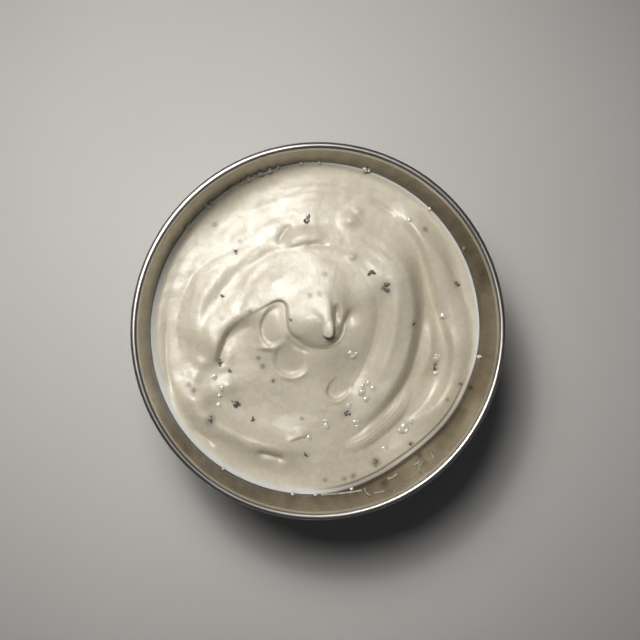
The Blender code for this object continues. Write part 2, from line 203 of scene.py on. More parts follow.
# %% Pale floor
FLOOR_HALF = 1.5     # metres
floor_mesh = bpy.data.meshes.new("floor")
floor_mesh.from_pydata([(-FLOOR_HALF, -FLOOR_HALF, 0), (FLOOR_HALF, -FLOOR_HALF, 0),
                        (FLOOR_HALF, FLOOR_HALF, 0), (-FLOOR_HALF, FLOOR_HALF, 0)],
                       [], [(0, 1, 2, 3)])
floor = bpy.data.objects.new("floor", floor_mesh)
bpy.context.scene.collection.objects.link(floor)
floor_paper, tree, shader, place = new_finish("floor_paper")
tree.links.new(blended(tree, grain(tree, place, 60), (0.70, 0.69, 0.67), (0.76, 0.75, 0.73)),
               shader.inputs["Base Color"])
shader.inputs["Roughness"].default_value = 0.9
floor_mesh.materials.append(floor_paper)
print("floor:", 2 * FLOOR_HALF, "m wide")

# %% [markdown]
# ## The cup: one line, turned
# A sauce cup is pressed and spun from a disk of sheet steel, and its edge is
# rolled outwards into a bead, so that no sharp edge meets a finger. Its shape
# follows one rule: the same section all the way round. Geometry Nodes are good
# at that. We draw the section once as a chain of edges, turn it into a curve
# and sweep it round a circle. The section goes down the inside, round the bead
# and back underneath, so the cup is a closed sheet with a real thickness.

# %% Section of the cup
RIM_RADIUS = 35.0
CUP_HEIGHT = 38.0
SHEET = 0.6
BEAD_RADIUS = 0.65
BEAD_GAP = 0.15       # between the bead's underside and the outer wall's top
WALL_LEAN = radians(17)
CORNER_RADIUS = 4.0
FILL_LEVEL = 29.0
BEAD_X = RIM_RADIUS - BEAD_RADIUS
BEAD_Z = CUP_HEIGHT - BEAD_RADIUS
INNER_STEPS = 15
OUTER_STEPS = 13
BEAD_STEPS = 24
CORNER_STEPS = 12


def arc(x, z, radius, start, end, steps):
    """Points of an arc, with its angles in degrees."""
    return [(x + radius * cos(radians(a)), z + radius * sin(radians(a)))
            for a in np.linspace(start, end, steps + 1)]


def wall_line(offset, z):
    """Radius of the wall's inner face plus an offset, at a height above the table."""
    return BEAD_X - BEAD_RADIUS - (BEAD_Z - z) * tan(WALL_LEAN) + offset / cos(WALL_LEAN)


def corner(offset, floor_z, radius):
    """Round corner between wall and base, from the wall down to the base."""
    z = floor_z + radius
    x = wall_line(offset, z) - radius / cos(WALL_LEAN)
    return arc(x, z, radius, -degrees(WALL_LEAN), -90, CORNER_STEPS)


def cup_section():
    """Closed section of the sheet, as points of radius and height."""
    inside = corner(0, SHEET, CORNER_RADIUS)[::-1]
    heights = np.linspace(inside[-1][1], BEAD_Z, INNER_STEPS + 1)[1:-1]
    wall = [(wall_line(0, z), z) for z in heights]
    bead = arc(BEAD_X, BEAD_Z, BEAD_RADIUS, 180, -110, BEAD_STEPS)
    under = BEAD_Z - BEAD_RADIUS - BEAD_GAP
    outside = corner(SHEET, 0, CORNER_RADIUS + SHEET)
    heights = np.linspace(under, outside[0][1], OUTER_STEPS + 1)[:-1]
    outer_wall = [(wall_line(SHEET, z), z) for z in heights]
    return [(0, SHEET)] + inside + wall + bead + outer_wall + outside + [(0, 0)]


section = cup_section()
print("section:", len(section), "points; widest", round(max(x for x, z in section), 2), "mm")

# %% [markdown]
# A tree of Geometry Nodes is built like a finish: sockets, then nodes, then
# links. Every tree of this lesson takes some geometry and a few named sizes.
# Every one ends in the same two nodes, which turn instances into real faces
# and give them their finish.

# %% Helpers for trees
def new_tree(name, **inputs):
    """An empty tree, and the outputs of its inputs, each given as a kind and a value."""
    group = bpy.data.node_groups.new(name, "GeometryNodeTree")
    group.interface.new_socket("Geometry", in_out="INPUT", socket_type="NodeSocketGeometry")
    for label, (kind, value) in inputs.items():
        made = group.interface.new_socket(label, in_out="INPUT", socket_type="NodeSocket" + kind)
        made.default_value = value
    group.interface.new_socket("Geometry", in_out="OUTPUT", socket_type="NodeSocketGeometry")
    return group, node(group, "NodeGroupInput").outputs


def end_tree(group, geometry, finish):
    """Makes instances real, gives every face its finish, and ends the tree."""
    real = node(group, "GeometryNodeRealizeInstances", links={"Geometry": geometry})
    dressed = node(group, "GeometryNodeSetMaterial", {"Material": finish},
                   {"Geometry": real.outputs[0]})
    node(group, "NodeGroupOutput", links={"Geometry": dressed.outputs[0]})
    return group


# %% [markdown]
# The sweep needs a circle to run round and the section to carry. The circle is
# tiny, a hundredth of a millimetre, so the section's own distance from the
# axis gives the cup its size, and the base is closed by welding the points
# that meet on the axis. The two sizes are named inputs of the tree.

# %% Tree that turns a section
WELDED_BELOW = 0.02 * MM


def turning_tree(finish):
    """Sweeps a chain of edges round the upright axis, and closes it there."""
    group, start = new_tree("turned_on_a_lathe", Steps=("Int", 240), Spindle=("Float", 0.01 * MM))
    line = node(group, "GeometryNodeMeshToCurve", links={"Mesh": start["Geometry"]})
    ring = node(group, "GeometryNodeCurvePrimitiveCircle",
                links={"Resolution": start["Steps"], "Radius": start["Spindle"]})
    swept = node(group, "GeometryNodeCurveToMesh",
                 links={"Curve": ring.outputs["Curve"], "Profile Curve": line.outputs[0]})
    welded = node(group, "GeometryNodeMergeByDistance", {"Distance": WELDED_BELOW},
                  {"Geometry": swept.outputs[0]})
    smooth_shaded = node(group, "GeometryNodeSetShadeSmooth",
                         links={"Geometry": welded.outputs[0]})
    return end_tree(group, smooth_shaded.outputs[0], finish)


# %% [markdown]
# A piece starts as a mesh of points, perhaps with edges and with a number
# stored on each point. The tree goes on it as a modifier, whose result is then
# kept as a plain mesh.

# %% A piece from points and a tree
def as_plain_mesh(thing):
    """Keeps what the modifiers made as the mesh, and drops the modifiers."""
    graph = bpy.context.evaluated_depsgraph_get()
    mesh = bpy.data.meshes.new_from_object(thing.evaluated_get(graph))
    thing.modifiers.clear()
    thing.data = mesh


def socket_of(group, name):
    """Identifier of a tree's input, which a modifier is set by."""
    return next(item.identifier for item in group.interface.items_tree
                if item.name == name and item.in_out == "INPUT")


def paint(mesh, name, values):
    """Stores a number at every point of a mesh."""
    column = mesh.attributes.new(name, "FLOAT", "POINT")
    column.data.foreach_set("value", values)


def shaped_by(tree_group, name, points, edges=(), sizes=None, settings={}):
    """A piece that a node tree makes from points in millimetres, and sizes on them."""
    mesh = bpy.data.meshes.new(name)
    mesh.from_pydata([tuple(v * MM for v in p) for p in points], edges, [])
    if sizes is not None:
        paint(mesh, "size", sizes)
    made = bpy.data.objects.new(name, mesh)
    bpy.context.scene.collection.objects.link(made)
    step = made.modifiers.new("shape", "NODES")
    step.node_group = tree_group
    for label, value in settings.items():
        step[socket_of(tree_group, label)] = value
    as_plain_mesh(made)
    print(name + ":", len(made.data.vertices), "points,", len(made.data.polygons), "faces")
    return made


# %% [markdown]
# ## Steel
# ## Steel
# Stainless sheet that has been spun and washed many times isn't a mirror. It
# has fine lines round the wall, where the tool ran, and a soft uneven tone
# where it has dulled. Both change the colour, the dull clouds also change the
# roughness, and the lines also change the shading. The lines are noise
# squeezed flat, so it runs round the cup. In the photograph the wall looks
# warm. Steel only gets that warmth from what it reflects, so it is a painted
# reflection, put into the metal's colour as a light brownish grey.

# %% Worn sheet
turned_steel, tree, shader, place = new_finish("turned_steel")
lines = grain(tree, place, 0.22, 4, 0.6, (0.02, 0.02, 1))
clouds = grain(tree, place, 14, 3, 0.6, (1, 1, 1.6))
# brownish grey: a painted reflection of warm surroundings, over the real dull clouds
metal = blended(tree, ranged(tree, clouds, 0.35, 0.65), (0.46, 0.42, 0.355), (0.57, 0.52, 0.45))
metal = blended(tree, ranged(tree, lines, 0.3, 0.7), metal, (0.52, 0.48, 0.415))
shader.inputs["Metallic"].default_value = 1
tree.links.new(bumped(tree, lines, 0.004), shader.inputs["Normal"])
axes = node(tree, "ShaderNodeSeparateXYZ", links={0: place}).outputs
rim = ranged(tree, axes["Z"], 36.6 * MM, 36.9 * MM)
satin = reckoned(tree, "ADD", ranged(tree, clouds, 0.3, 0.7, 0.2, 0.3),
                 ranged(tree, rim, 0, 1, 0, 0.16))
tree.links.new(satin, shader.inputs["Roughness"])
print("worn sheet:", len(tree.nodes), "nodes")

# %% [markdown]
# Above the dressing the wall is darker, mostly from painted shade. Three spans
# of values are added up. The first is x times y, which is highest at the upper
# right and the lower left, where the photographed wall is darkest, and is
# painted shade. The second is the height, painted shade that deepens down
# towards the dressing. The third is noise drawn out into upright runs, which
# are real dried splashes. The outside is clean. A point is on the inner face
# where it is nearer to the axis than the middle of the sheet is at its height.
# The rolled rim is satin, and its paler colour is a painted highlight.

# %% Splashes on the inner face
# painted shade: darker at the upper right and the lower left
across = ranged(tree, reckoned(tree, "MULTIPLY", axes["X"], axes["Y"]),
                -0.0006, 0.0006, -0.022, 0.022)
# painted shade: darker towards the dressing
low = ranged(tree, axes["Z"], 28 * MM, 36 * MM, 0.016, -0.012)
runs = ranged(tree, grain(tree, place, 2.2, 3, 0.6, (1, 1, 0.12)), 0.35, 0.65, -0.007, 0.007)
wall_dirt_and_shade = reckoned(tree, "ADD", reckoned(tree, "ADD", across, low), runs)
wall_dirt_and_shade = ranged(tree, wall_dirt_and_shade, -0.026, 0.022)
flat = node(tree, "ShaderNodeVectorMath", {1: (1, 1, 0)}, {0: place}, operation="MULTIPLY")
from_axis = node(tree, "ShaderNodeVectorMath", links={0: flat.outputs[0]}, operation="LENGTH")
sheet_middle = ranged(tree, axes["Z"], 0, CUP_HEIGHT * MM, wall_line(SHEET / 2, 0) * MM,
                      wall_line(SHEET / 2, CUP_HEIGHT) * MM)
further_in = reckoned(tree, "SUBTRACT", sheet_middle, from_axis.outputs["Value"])
inner_face = ranged(tree, further_in, -0.05 * MM, 0.05 * MM)
below_rim = ranged(tree, rim, 0, 1, 0.7, 0)
above_floor = ranged(tree, axes["Z"], 6 * MM, 8 * MM)
for share in (inner_face, below_rim, above_floor):
    wall_dirt_and_shade = reckoned(tree, "MULTIPLY", wall_dirt_and_shade, share)
# the wall's darkening: painted shade, with real splashes in the runs
metal = blended(tree, wall_dirt_and_shade, metal, (0.12, 0.11, 0.095))
# painted highlight: the rim's colour is painted paler, so the line of light on it is brighter
metal = blended(tree, rim, metal, (0.72, 0.70, 0.66))
tree.links.new(metal, shader.inputs["Base Color"])
print("worn and stained sheet:", len(tree.nodes), "nodes")

# %% Turn the cup
HELD_IN = 0.02    # keeps the facets inside the CAD model's box
# the tree sweeps the section's second number downwards, so it goes in turned over
cup = shaped_by(turning_tree(turned_steel), "steel_cup",
                [(max(x - HELD_IN, 0), -z, 0) for x, z in section],
                [(k, k + 1) for k in range(len(section) - 1)])
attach(cup, "root")
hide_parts("sauce_cup")

# %% [markdown]
# ## How a spoon shapes the dressing
# Thick dressing keeps every mark of the spoon. Sculpting such a surface by
# hand can't be repeated, so we describe it instead, as a height over every
# point of the cup, and add one stroke after another. Each stroke follows a
# smooth curve through a few stations, and has its own section: a soft round
# roll, a wave that is steep on one side, a flat-backed arm, or a sharp crease.
# A stroke's left side is called its inner one. Nearly all strokes run
# anticlockwise, as the spoon did, so it is also the side nearer to the middle.

# %% Curves and distances
def smooth(t):
    """0 below 0, 1 above 1, and a soft step between them."""
    t = np.clip(t, 0, 1)
    return t * t * (3 - 2 * t)


def curve(stations, steps=8):
    """Smooth curve through the stations (Catmull-Rom)."""
    p = np.array(stations, float)
    p = np.vstack([2 * p[0] - p[1], p, 2 * p[-1] - p[-2]])
    t = (np.arange(steps) / steps)[:, None]
    parts = []
    for a, b, c, d in zip(p, p[1:], p[2:], p[3:]):
        cubic = (3 * b - 3 * c + d - a) * t ** 3
        square = (2 * a - 5 * b + 4 * c - d) * t ** 2
        parts.append(0.5 * (2 * b + (c - a) * t + square + cubic))
    return np.vstack(parts + [p[-2:-1]])


def beside(x, y, stations, reach):
    """For the points near a stroke: which they are, how far along it they lie,
    how far to its inner side, and its widths there."""
    path = curve(stations)
    line, widths = path[:, :2], path[:, 2:]
    low, high = line.min(0) - reach, line.max(0) + reach
    near = (x > low[0]) & (x < high[0]) & (y > low[1]) & (y < high[1])
    px, py = x[near], y[near]
    run = line[1:] - line[:-1]
    length = np.hypot(run[:, 0], run[:, 1])
    gone = np.concatenate([[0], np.cumsum(length)])
    nearest = np.full(px.shape, np.inf)
    inward, share = np.zeros(px.shape), np.zeros(px.shape)
    for (ax, ay), (rx, ry), size, start in zip(line, run, length, gone):
        along = np.clip(((px - ax) * rx + (py - ay) * ry) / size ** 2, 0, 1)
        dx, dy = px - ax - along * rx, py - ay - along * ry
        apart = np.hypot(dx, dy)
        closer = apart < nearest
        side = np.where(rx * dy - ry * dx < 0, -1, 1)
        nearest = np.where(closer, apart, nearest)
        inward = np.where(closer, side * apart, inward)
        share = np.where(closer, (start + along * size) / gone[-1], share)
    return near, share, inward, [np.interp(share, gone / gone[-1], w) for w in widths.T]


print("a curve through 3 stations has", len(curve([(0, 0), (3, 1), (6, 0)])), "points")

# %% [markdown]
# The strokes themselves are methods of one small class, which holds the points
# and the height that has been built up so far. Every stroke fades in and out
# over a share of its length, because a spoon is lowered and lifted. Heights,
# widths and places are in millimetres, and angles are in degrees.

# %% Strokes of the spoon
ROUND_CREST = 0.28     # share of a wave's width over which its crest is rounded


class Relief:
    """Heights over points of the plan, and the strokes that change them."""

    def __init__(self, x, y):
        self.x, self.y, self.z = x, y, np.zeros_like(x)

    def add(self, near, height, share, fade, section):
        """Adds a section to the points near a stroke, faded at both ends."""
        ends = smooth(share / fade[0]) * smooth((1 - share) / fade[1])
        self.z[near] += height * ends * section

    def roll(self, height, inner, outer, stations, fade=(0.2, 0.2)):
        """Soft round ridge, or a trough where height is negative."""
        near, share, d, _ = beside(self.x, self.y, stations, 3 * max(inner, outer))
        section = np.exp(-(d / np.where(d > 0, inner, outer)) ** 2)
        self.add(near, height, share, fade, section)

    def wave(self, height, stations, steep="inner", fade=(0.2, 0.2)):
        """Ridge with an even slope on one side and a steeper rounded face on the other.
        A station is x, y, inner and outer width."""
        wide = max(max(s[2], s[3]) for s in stations)
        near, share, d, (inner, outer) = beside(self.x, self.y, stations, 1.1 * wide)
        d, face, back = (d, inner, outer) if steep == "inner" else (-d, outer, inner)
        slope = np.hypot(d / back, ROUND_CREST) - ROUND_CREST
        slope /= np.hypot(1, ROUND_CREST) - ROUND_CREST
        section = np.where(d > 0, 1 - smooth(d / face), np.clip(1 - slope, 0, 1))
        self.add(near, height, share, fade, section)

    def arm(self, height, stations, fade=(0.2, 0.2), inner=2.0, outer=2.0):
        """Full ridge that ends in a corner. A station is x, y, inner and outer width."""
        wide = max(max(s[2], s[3]) for s in stations)
        near, share, d, widths = beside(self.x, self.y, stations, 1.1 * wide)
        u = np.abs(d) / np.where(d > 0, widths[0], widths[1])
        section = np.clip(1 - u ** np.where(d > 0, inner, outer), 0, 1)
        self.add(near, height, share, fade, section)

    def crease(self, depth, width, stations, fade=(0.25, 0.25)):
        """Sharp notch, or a fine lip where depth is negative."""
        near, share, d, _ = beside(self.x, self.y, stations, 5 * width)
        section = np.exp(-np.sqrt(d * d + (0.3 * width) ** 2) / width)
        self.add(near, -depth, share, fade, section)

    def combed(self, height, pitch, reach, stations, fade=(0.3, 0.3)):
        """Fine lines, not quite evenly spaced, that a drawn spoon leaves beside its path."""
        near, share, d, _ = beside(self.x, self.y, stations, 2.2 * reach)
        lines = np.cos(2 * pi * d / pitch + 1.7 * np.sin(d / pitch * 1.3))
        self.add(near, height, share, fade, lines * np.exp(-(d / reach) ** 2))

    def oval(self, x, y, radius_x, radius_y, turn):
        """Distance from an oval's centre, 1 on its edge."""
        c, s = cos(radians(turn)), sin(radians(turn))
        u = ((self.x - x) * c + (self.y - y) * s) / radius_x
        v = ((self.y - y) * c - (self.x - x) * s) / radius_y
        return np.hypot(u, v)

    def dent(self, depth, x, y, radius_x, radius_y, turn=0, opens=0):
        """Mark of the spoon's tip: a hollow with a short steep side, that runs out
        to the side it opens to."""
        q = self.oval(x, y, radius_x, radius_y, turn)
        ahead = (self.x - x) * cos(radians(opens)) + (self.y - y) * sin(radians(opens))
        floor = depth * np.clip(0.45 - 0.55 * ahead / min(radius_x, radius_y), 0, 1)
        self.z -= floor * (1 - smooth((q - 0.7) / 0.34))

    def lump(self, height, x, y, radius_x, radius_y, turn=0):
        """Soft heap, or a hollow where height is negative."""
        q = self.oval(x, y, radius_x, radius_y, turn)
        self.z += height * np.exp(-q * q)


# %% [markdown]
# It helps to know what a stroke does before the whole surface is there. This
# helper tries some strokes on a coarse net of their own, and prints how deep
# and how high they go. The two numbers are worth a look after every change.

# %% Trial of some strokes
TRIAL_NET = np.mgrid[-30:30:61j, -30:30:61j].reshape(2, -1)


def try_out(name, *strokes):
    trial = Relief(*TRIAL_NET)
    for stroke in strokes:
        stroke(trial)
    print(f"{name}: from {trial.z.min():.2f} to {trial.z.max():.2f} mm")


try_out("one crease", lambda top: top.crease(1, 0.5, [(-9, 0), (0, 3), (9, 0)]))

# %% [markdown]
# ## The ground the strokes stand on
# Before any stroke, the dressing is a low mound. It meets the wall at a height
# that changes round the cup: low at the upper left and at the lower right,
# where it has slumped, and higher at the back.

# %% Height along the wall
WALL_HEIGHTS = {0: 1.0, 45: 1.3, 90: 1.2, 112: 0.0, 138: -1.2, 165: -1.1,
                180: -0.8, 225: 0.3, 270: 0.1, 305: -1.8, 335: 0.2}
MOUND_TOP = 0.8


def by_direction(table, direction):
    """Value for a direction, changing smoothly between the table's entries."""
    angles = np.array(sorted(table), float)
    values = np.tile(np.array([table[a] for a in sorted(table)], float), 3)
    angles = np.concatenate([angles - 360, angles, angles + 360])
    turn = np.degrees(direction) % 360
    k = np.searchsorted(angles, turn, side="right") - 1
    share = smooth((turn - angles[k]) / (angles[k + 1] - angles[k]))
    return values[k] + (values[k + 1] - values[k]) * share


def wall_height(direction):
    """Height where the dressing meets the wall, over the filling level."""
    return by_direction(WALL_HEIGHTS, direction)


def edge_radius(direction):
    return wall_line(0, FILL_LEVEL + wall_height(direction))


def facing(direction, middle, start, width):
    """1 towards a direction, 0 away from it, with a soft step in the cosine between."""
    return smooth((np.cos(direction - radians(middle)) - start) / width)


def slumped(direction):
    """How far the dressing has slumped there: 1 at the lower right."""
    return facing(direction, 308, 0.75, 0.2)


def mound(top):
    direction = np.arctan2(top.y, top.x)
    share = np.clip(np.hypot(top.x, top.y) / edge_radius(direction), 0, 1)
    top.z += MOUND_TOP + (wall_height(direction) - MOUND_TOP) * share ** 1.5


try_out("mound", mound)

# %% [markdown]
# ## The main fold
# The largest form leaves the peak at the back and sweeps round the left side,
# like a wave: a broad back that faces the light, and a steep inner face with
# a crease at its foot. Further out runs a second, much lower swirl.

# %% Main fold
def main_fold(top):
    top.wave(2.2, [(1, 6, 5, 9), (-3, 6.6, 5, 10), (-7.5, 6.0, 6, 11), (-11.6, 4.8, 5, 11),
             (-15.2, 2.7, 3.2, 11), (-17.8, -0.3, 2.4, 9), (-19.1, -3.9, 1.8, 7),
             (-20.0, -7.4, 1.6, 6)], "inner", (0.62, 0.22))
    top.crease(1.2, 0.7, [(-12.8, 2.2), (-14.8, 1.0), (-16.5, -0.9), (-17.6, -3.6),
               (-18.2, -7.2)], (0.5, 0.15))
    top.roll(0.35, 1.8, 2.8, [(-3, 20.4), (-8.5, 18.2), (-13.2, 15.0), (-17.6, 11.4),
             (-21.2, 6.3), (-23.4, 0.9), (-23.8, -4)])


try_out("main fold", main_fold)

# %% [markdown]
# ## Swirls on the right
# On the right the spoon left three rings, each inside the next: a broad ridge
# with a thin inner line, a deep valley, and an outer ring whose inner edge
# catches the light.

# %% Rings of the right side
def right_rings(top):
    top.roll(0.55, 1.6, 1.6, [(9.5, -12.5), (12.0, -8.5), (13.5, -4), (14.4, 0.5), (14.8, 4.5),
             (14.4, 8), (13, 11.5)], (0.35, 0.3))
    top.roll(-0.8, 2.0, 1.2, [(8.6, -10.5), (10.6, -7.0), (12.0, -3.4), (12.8, 0.5), (13.2, 4.5),
             (12.9, 8), (11.6, 11.5)], (0.35, 0.3))
    top.wave(1.9, [(5.5, -19.5, 5, 3), (10.5, -15.8, 5.5, 3), (13.8, -11.5, 6, 3),
             (16.2, -7, 6.5, 3), (17.6, -2, 6.5, 3), (18, 2, 6.5, 3.2),
             (17.7, 6, 6.5, 3.6), (16.5, 10.8, 7, 4.2), (13.8, 15.4, 7, 5),
             (10.5, 19.5, 7, 5)], "outer", (0.25, 0.25))
    top.roll(-1.1, 1.3, 2.4, [(13.6, -16), (16.8, -12.4), (19.0, -8.2), (20, -3.6),
             (20.4, 1), (20.2, 5.4), (19.3, 9.8), (17.4, 14)], (0.25, 0.6))
    top.roll(0.5, 0.9, 1.2, [(20.6, -10), (22.0, -6), (22.2, -1), (22, 3)], (0.3, 0.3))
    top.roll(-1.0, 2.4, 1.6, [(17, -17.6), (20.8, -14.4), (23.4, -10.4), (24.6, -5),
             (23.9, 0.4), (22.4, 6), (20.8, 11.6), (18, 17.5)], (0.3, 0.25))
    top.wave(1.4, [(16.5, -18.8, 1.4, 5), (19.6, -17.4, 1.3, 5), (21.8, -15.8, 1.2, 5),
             (23.8, -13.8, 1.2, 5), (25.4, -11, 1.2, 5), (26.5, -7.5, 1.2, 5),
             (26.7, -4.5, 1.2, 5), (26.1, -1.5, 1.2, 5), (25.0, 2, 1.2, 5),
             (23.8, 5.3, 1.2, 5), (22.8, 9, 1.2, 5), (21.4, 13.8, 1.4, 5),
             (19.7, 17.9, 1.6, 5), (17.6, 21, 2, 5), (14.5, 23.8, 2.4, 4)])
    top.roll(0.4, 1.6, 1.3, [(27, 5), (25.6, 9.5), (23, 14), (20, 18), (17, 21),
             (13, 23)], (0.3, 0.3))
    top.crease(0.4, 0.6, [(29.5, 3.5), (28.2, 7), (26.6, 10.5), (24.5, 13.8)], (0.3, 0.3))
    top.crease(0.4, 0.5, [(15.4, 21.4), (12.8, 23.4), (10, 24.8)], (0.3, 0.3))


try_out("rings", right_rings)

# %% [markdown]
# ## Swirls at the front
# At the front the spoon's edge drew out a flat ribbon. Its stations have a
# name of their own, because two strokes follow them: this arm, and later the
# fine lines beside it. To its left runs a broad soft roll, with a shallow
# valley on its inner side and two creases outside it.

# %% Ribbon and roll at the front
# x, y, inner and outer width
RIBBON = [(5, -23.2, 1.5, 1), (9, -21.8, 2, 1.3), (12.6, -19.4, 2.4, 1.5),
          (15.6, -16.6, 2.4, 1.5), (17.6, -13.4, 2, 1.3), (18.4, -10, 1.5, 1)]


def front_swirls(top):
    top.arm(0.85, RIBBON, (0.35, 0.35), 2, 1.5)
    top.roll(1.7, 2.2, 2.4, [(-25.4, -7.5), (-23.8, -12.6), (-20.4, -16.4), (-15.5, -19.4),
             (-10.5, -21.3), (-5.5, -22.7), (0, -22.9)], (0.2, 0.3))
    top.crease(1.5, 0.6, [(-11.6, -23.1), (-9, -23.6), (-7, -24.2), (-5.3, -25)],
               (0.3, 0.3))
    top.crease(1.1, 0.45, [(-24.5, -17.6), (-22.5, -19.2), (-20.5, -20.5),
               (-18.6, -22)], (0.3, 0.3))
    top.roll(-0.5, 2.2, 2.6, [(-21, -10), (-17, -14.4), (-11.5, -16.8), (-5, -18),
             (1, -18.6)], (0.3, 0.6))


try_out("front", front_swirls)

# %% [markdown]
# ## Dents, heaps and small folds
# The tip of the spoon touched the dressing three times in front of the peak.
# Under the strokes lie broad soft heaps and hollows, which give each part of
# the cup its own level. Small folds come last, with the bits of cheese and
# garlic that lie just under the surface as small bumps.

# %% Dents
def spoon_dents(top):
    top.dent(1.2, -7.9, 1.0, 2.9, 4.2, -14, 0)
    top.dent(0.8, -4.8, -5.4, 3.4, 3.5, 0, 55)
    top.crease(-0.45, 0.45, [(-8.0, -6.2), (-6.6, -8.5), (-4.2, -9.1), (-2.0, -8.2),
               (-1.0, -6.4)], (0.35, 0.35))
    top.dent(1.0, 4.6, -11.0, 2.2, 3.0, -38, 60)
    top.crease(-0.45, 0.4, [(2.7, -11.3), (3.0, -13.0), (4.3, -13.6), (6.0, -12.5),
               (7.2, -11.2)], (0.3, 0.4))
    top.lump(0.5, -9.6, -3.3, 1.4, 0.5, -5)


try_out("dents", spoon_dents)

# %% Heaps and small folds
# height, x, y, two radii and, where it isn't 0, the turn in degrees
HEAPS = [(1.0, 3, 5, 9, 9, 0), (2.5, 11.5, 6.5, 7.5, 9, 0),
         (2.9, -7.6, 0.6, 4.6, 5.2, 10), (1.3, 1.8, -3.6, 5.5, 4.2, 0),
         (-0.8, -13, 23, 9, 4.5, 30), (-0.3, -25.5, 3, 3.5, 7, 0),
         (-0.5, -8, 14.5, 4, 3, -30), (-0.4, 7.5, -8.0, 6, 4, -35),
         (0.9, 7, 12, 6, 6, 0), (-1.2, 22.5, -11, 4, 6, -30), (-0.9, 24.5, 3, 2, 5, 15),
         (-0.8, 14.5, -19.5, 5, 3, 40), (-0.5, -12, -27, 7, 3, -15),
         (-0.6, -9, -14, 6, 3, -20), (0.3, 8, 18.5, 3, 3, 0),
         (0.6, -18.5, -4, 2.5, 2.5, 0), (0.6, -7, -23.5, 5, 2.5, -12)]
BITS = [(0.4, -2.6, 17.9, 2.6, 1.3, 10), (0.85, 6.4, 20.8, 1.5, 1.4), (0.35, 8.0, 22.4, 0.7, 0.7),
        (0.6, 6.6, 13.9, 0.7, 0.6), (0.65, -21.4, -6.2, 1.6, 1.2), (0.5, -22.6, -8.6, 1.4, 1.2),
        (0.9, -20.9, -12.4, 2.1, 1.6), (0.7, -16.6, -10.5, 1.9, 1.4)]


def heaps(top):
    for heap in HEAPS:
        top.lump(*heap)


def small_folds(top):
    top.roll(-0.55, 4.0, 1.7, [(-3, 15.8), (-8, 14.2), (-12.6, 11.6), (-16.8, 7.9),
             (-19.8, 3.9), (-21.2, 0)], (0.3, 0.25))
    top.wave(0.35, [(2.6, 18.0, 0.8, 2.0), (0, 17.3, 0.9, 2.4), (-3, 16.7, 0.9, 2.4),
             (-6.2, 15.7, 0.8, 2.0)], "inner", (0.35, 0.25))
    top.crease(0.6, 0.45, [(-4.3, 19.9), (-5.7, 18.8), (-6.7, 17.2), (-7.2, 15.8)],
               (0.3, 0.3))
    top.crease(0.4, 0.35, [(2.6, 15.9), (0, 16.1), (-2.5, 15.8)], (0.3, 0.3))
    top.crease(0.5, 0.6, [(-27.6, 4), (-28.1, -2), (-27.9, -7), (-27, -10.8),
               (-25.5, -13.4)])
    top.wave(0.5, [(-0.8, -19.9, 0.6, 1.6), (-3.2, -20.2, 0.6, 1.8), (-5.8, -21.2, 0.6, 1.6)],
             "inner", (0.4, 0.4))
    for bit in BITS:
        top.lump(*bit)


try_out("heaps", heaps)
try_out("small folds", small_folds)

# %% [markdown]
# ## The peak
# Lifting the spoon pulled a soft peak out of the dressing: a small dome with a
# foot that is steepest at the upper left, a ridge that runs over it from back
# to front, and folds on the side away from the light. The dome is the lower of
# two slopes, joined softly: one falls from the crest, by a steepness for each
# direction, and one rises from the line of the foot. A smooth maximum joins
# it to the ground, so there is no hard line where the two meet.

# %% Dome
PEAK_X, PEAK_Y = 1.75, 1.6     # where the tip grows
CREST_X, CREST_Y = 1.9, 1.3    # the highest point under the tip
CREST_TOP = 5.7                # over the filling level
# how steeply each side falls, by direction in degrees
SIDE_SLOPES = {0: 0.62, 20: 0.56, 45: 0.43, 60: 0.28, 75: 0.17, 90: 0.17, 105: 0.2, 120: 0.22,
               135: 0.21, 150: 0.18, 165: 0.14, 180: 0.12, 190: 0.16, 205: 0.3, 230: 0.44,
               250: 0.58, 300: 0.8}
SLOPES_BLUR = 22               # degrees
# line of the dome's foot, from the far left, round its left side and front, to the right
FOOT = [(-19.5, -6), (-17, -0.8), (-14.4, 1.6), (-11.4, 3.0), (-9.2, 4.1), (-7.6, 4.9),
        (-6.6, 4.6), (-6.5, 2.6), (-6.2, 0.2), (-4.3, -2.7), (-0.6, -4.4), (2.6, -4.2),
        (5.3, -2.0), (6.5, 1.2), (8.0, 3.6), (11, 6.0), (16, 8)]
ROUND_TOP = 0.5                # radius over which the crest is rounded
ROUND_SHOULDER = 0.7           # between the falling and the rising slope
WHOLE_CUP = 80                 # reach that takes in every point


def softly(table, direction):
    """Value for a direction, averaged over some degrees to either side."""
    turn, angles = np.degrees(direction), sorted(table)
    values = [table[a] for a in angles]
    return sum(np.interp(turn + SLOPES_BLUR * k, angles, values, period=360)
               for k in (-1, -0.6, -0.3, 0, 0.3, 0.6, 1)) / 7


def raise_dome(top):
    px, py = top.x - CREST_X, top.y - CREST_Y
    away, direction = np.hypot(px, py), np.arctan2(py, px)
    dome = CREST_TOP - softly(SIDE_SLOPES, direction) * (np.hypot(away, ROUND_TOP) - ROUND_TOP)
    # further out it falls faster and faster, so that it ends before the wall
    dome -= 0.012 * np.clip(away - 8, 0, 14) ** 2 + 0.08 * np.clip(away - 20, 0, 20) ** 2
    inward = beside(top.x, top.y, FOOT, WHOLE_CUP)[2]
    side = 0.4 + (2.0 + 2.8 * facing(direction, 150, 0.5, 0.4)) * inward
    dome = (dome + side - np.hypot(dome - side, ROUND_SHOULDER)) / 2
    soft = 0.35 + 1.5 * facing(direction, 80, 0.2, 0.6)
    top.z = (top.z + dome + np.hypot(top.z - dome, soft)) / 2


try_out("dome", raise_dome)

# %% Folds on the dome
RINGS_X, RINGS_Y = 1.6, 0.7    # middle of the fine rings under the tip


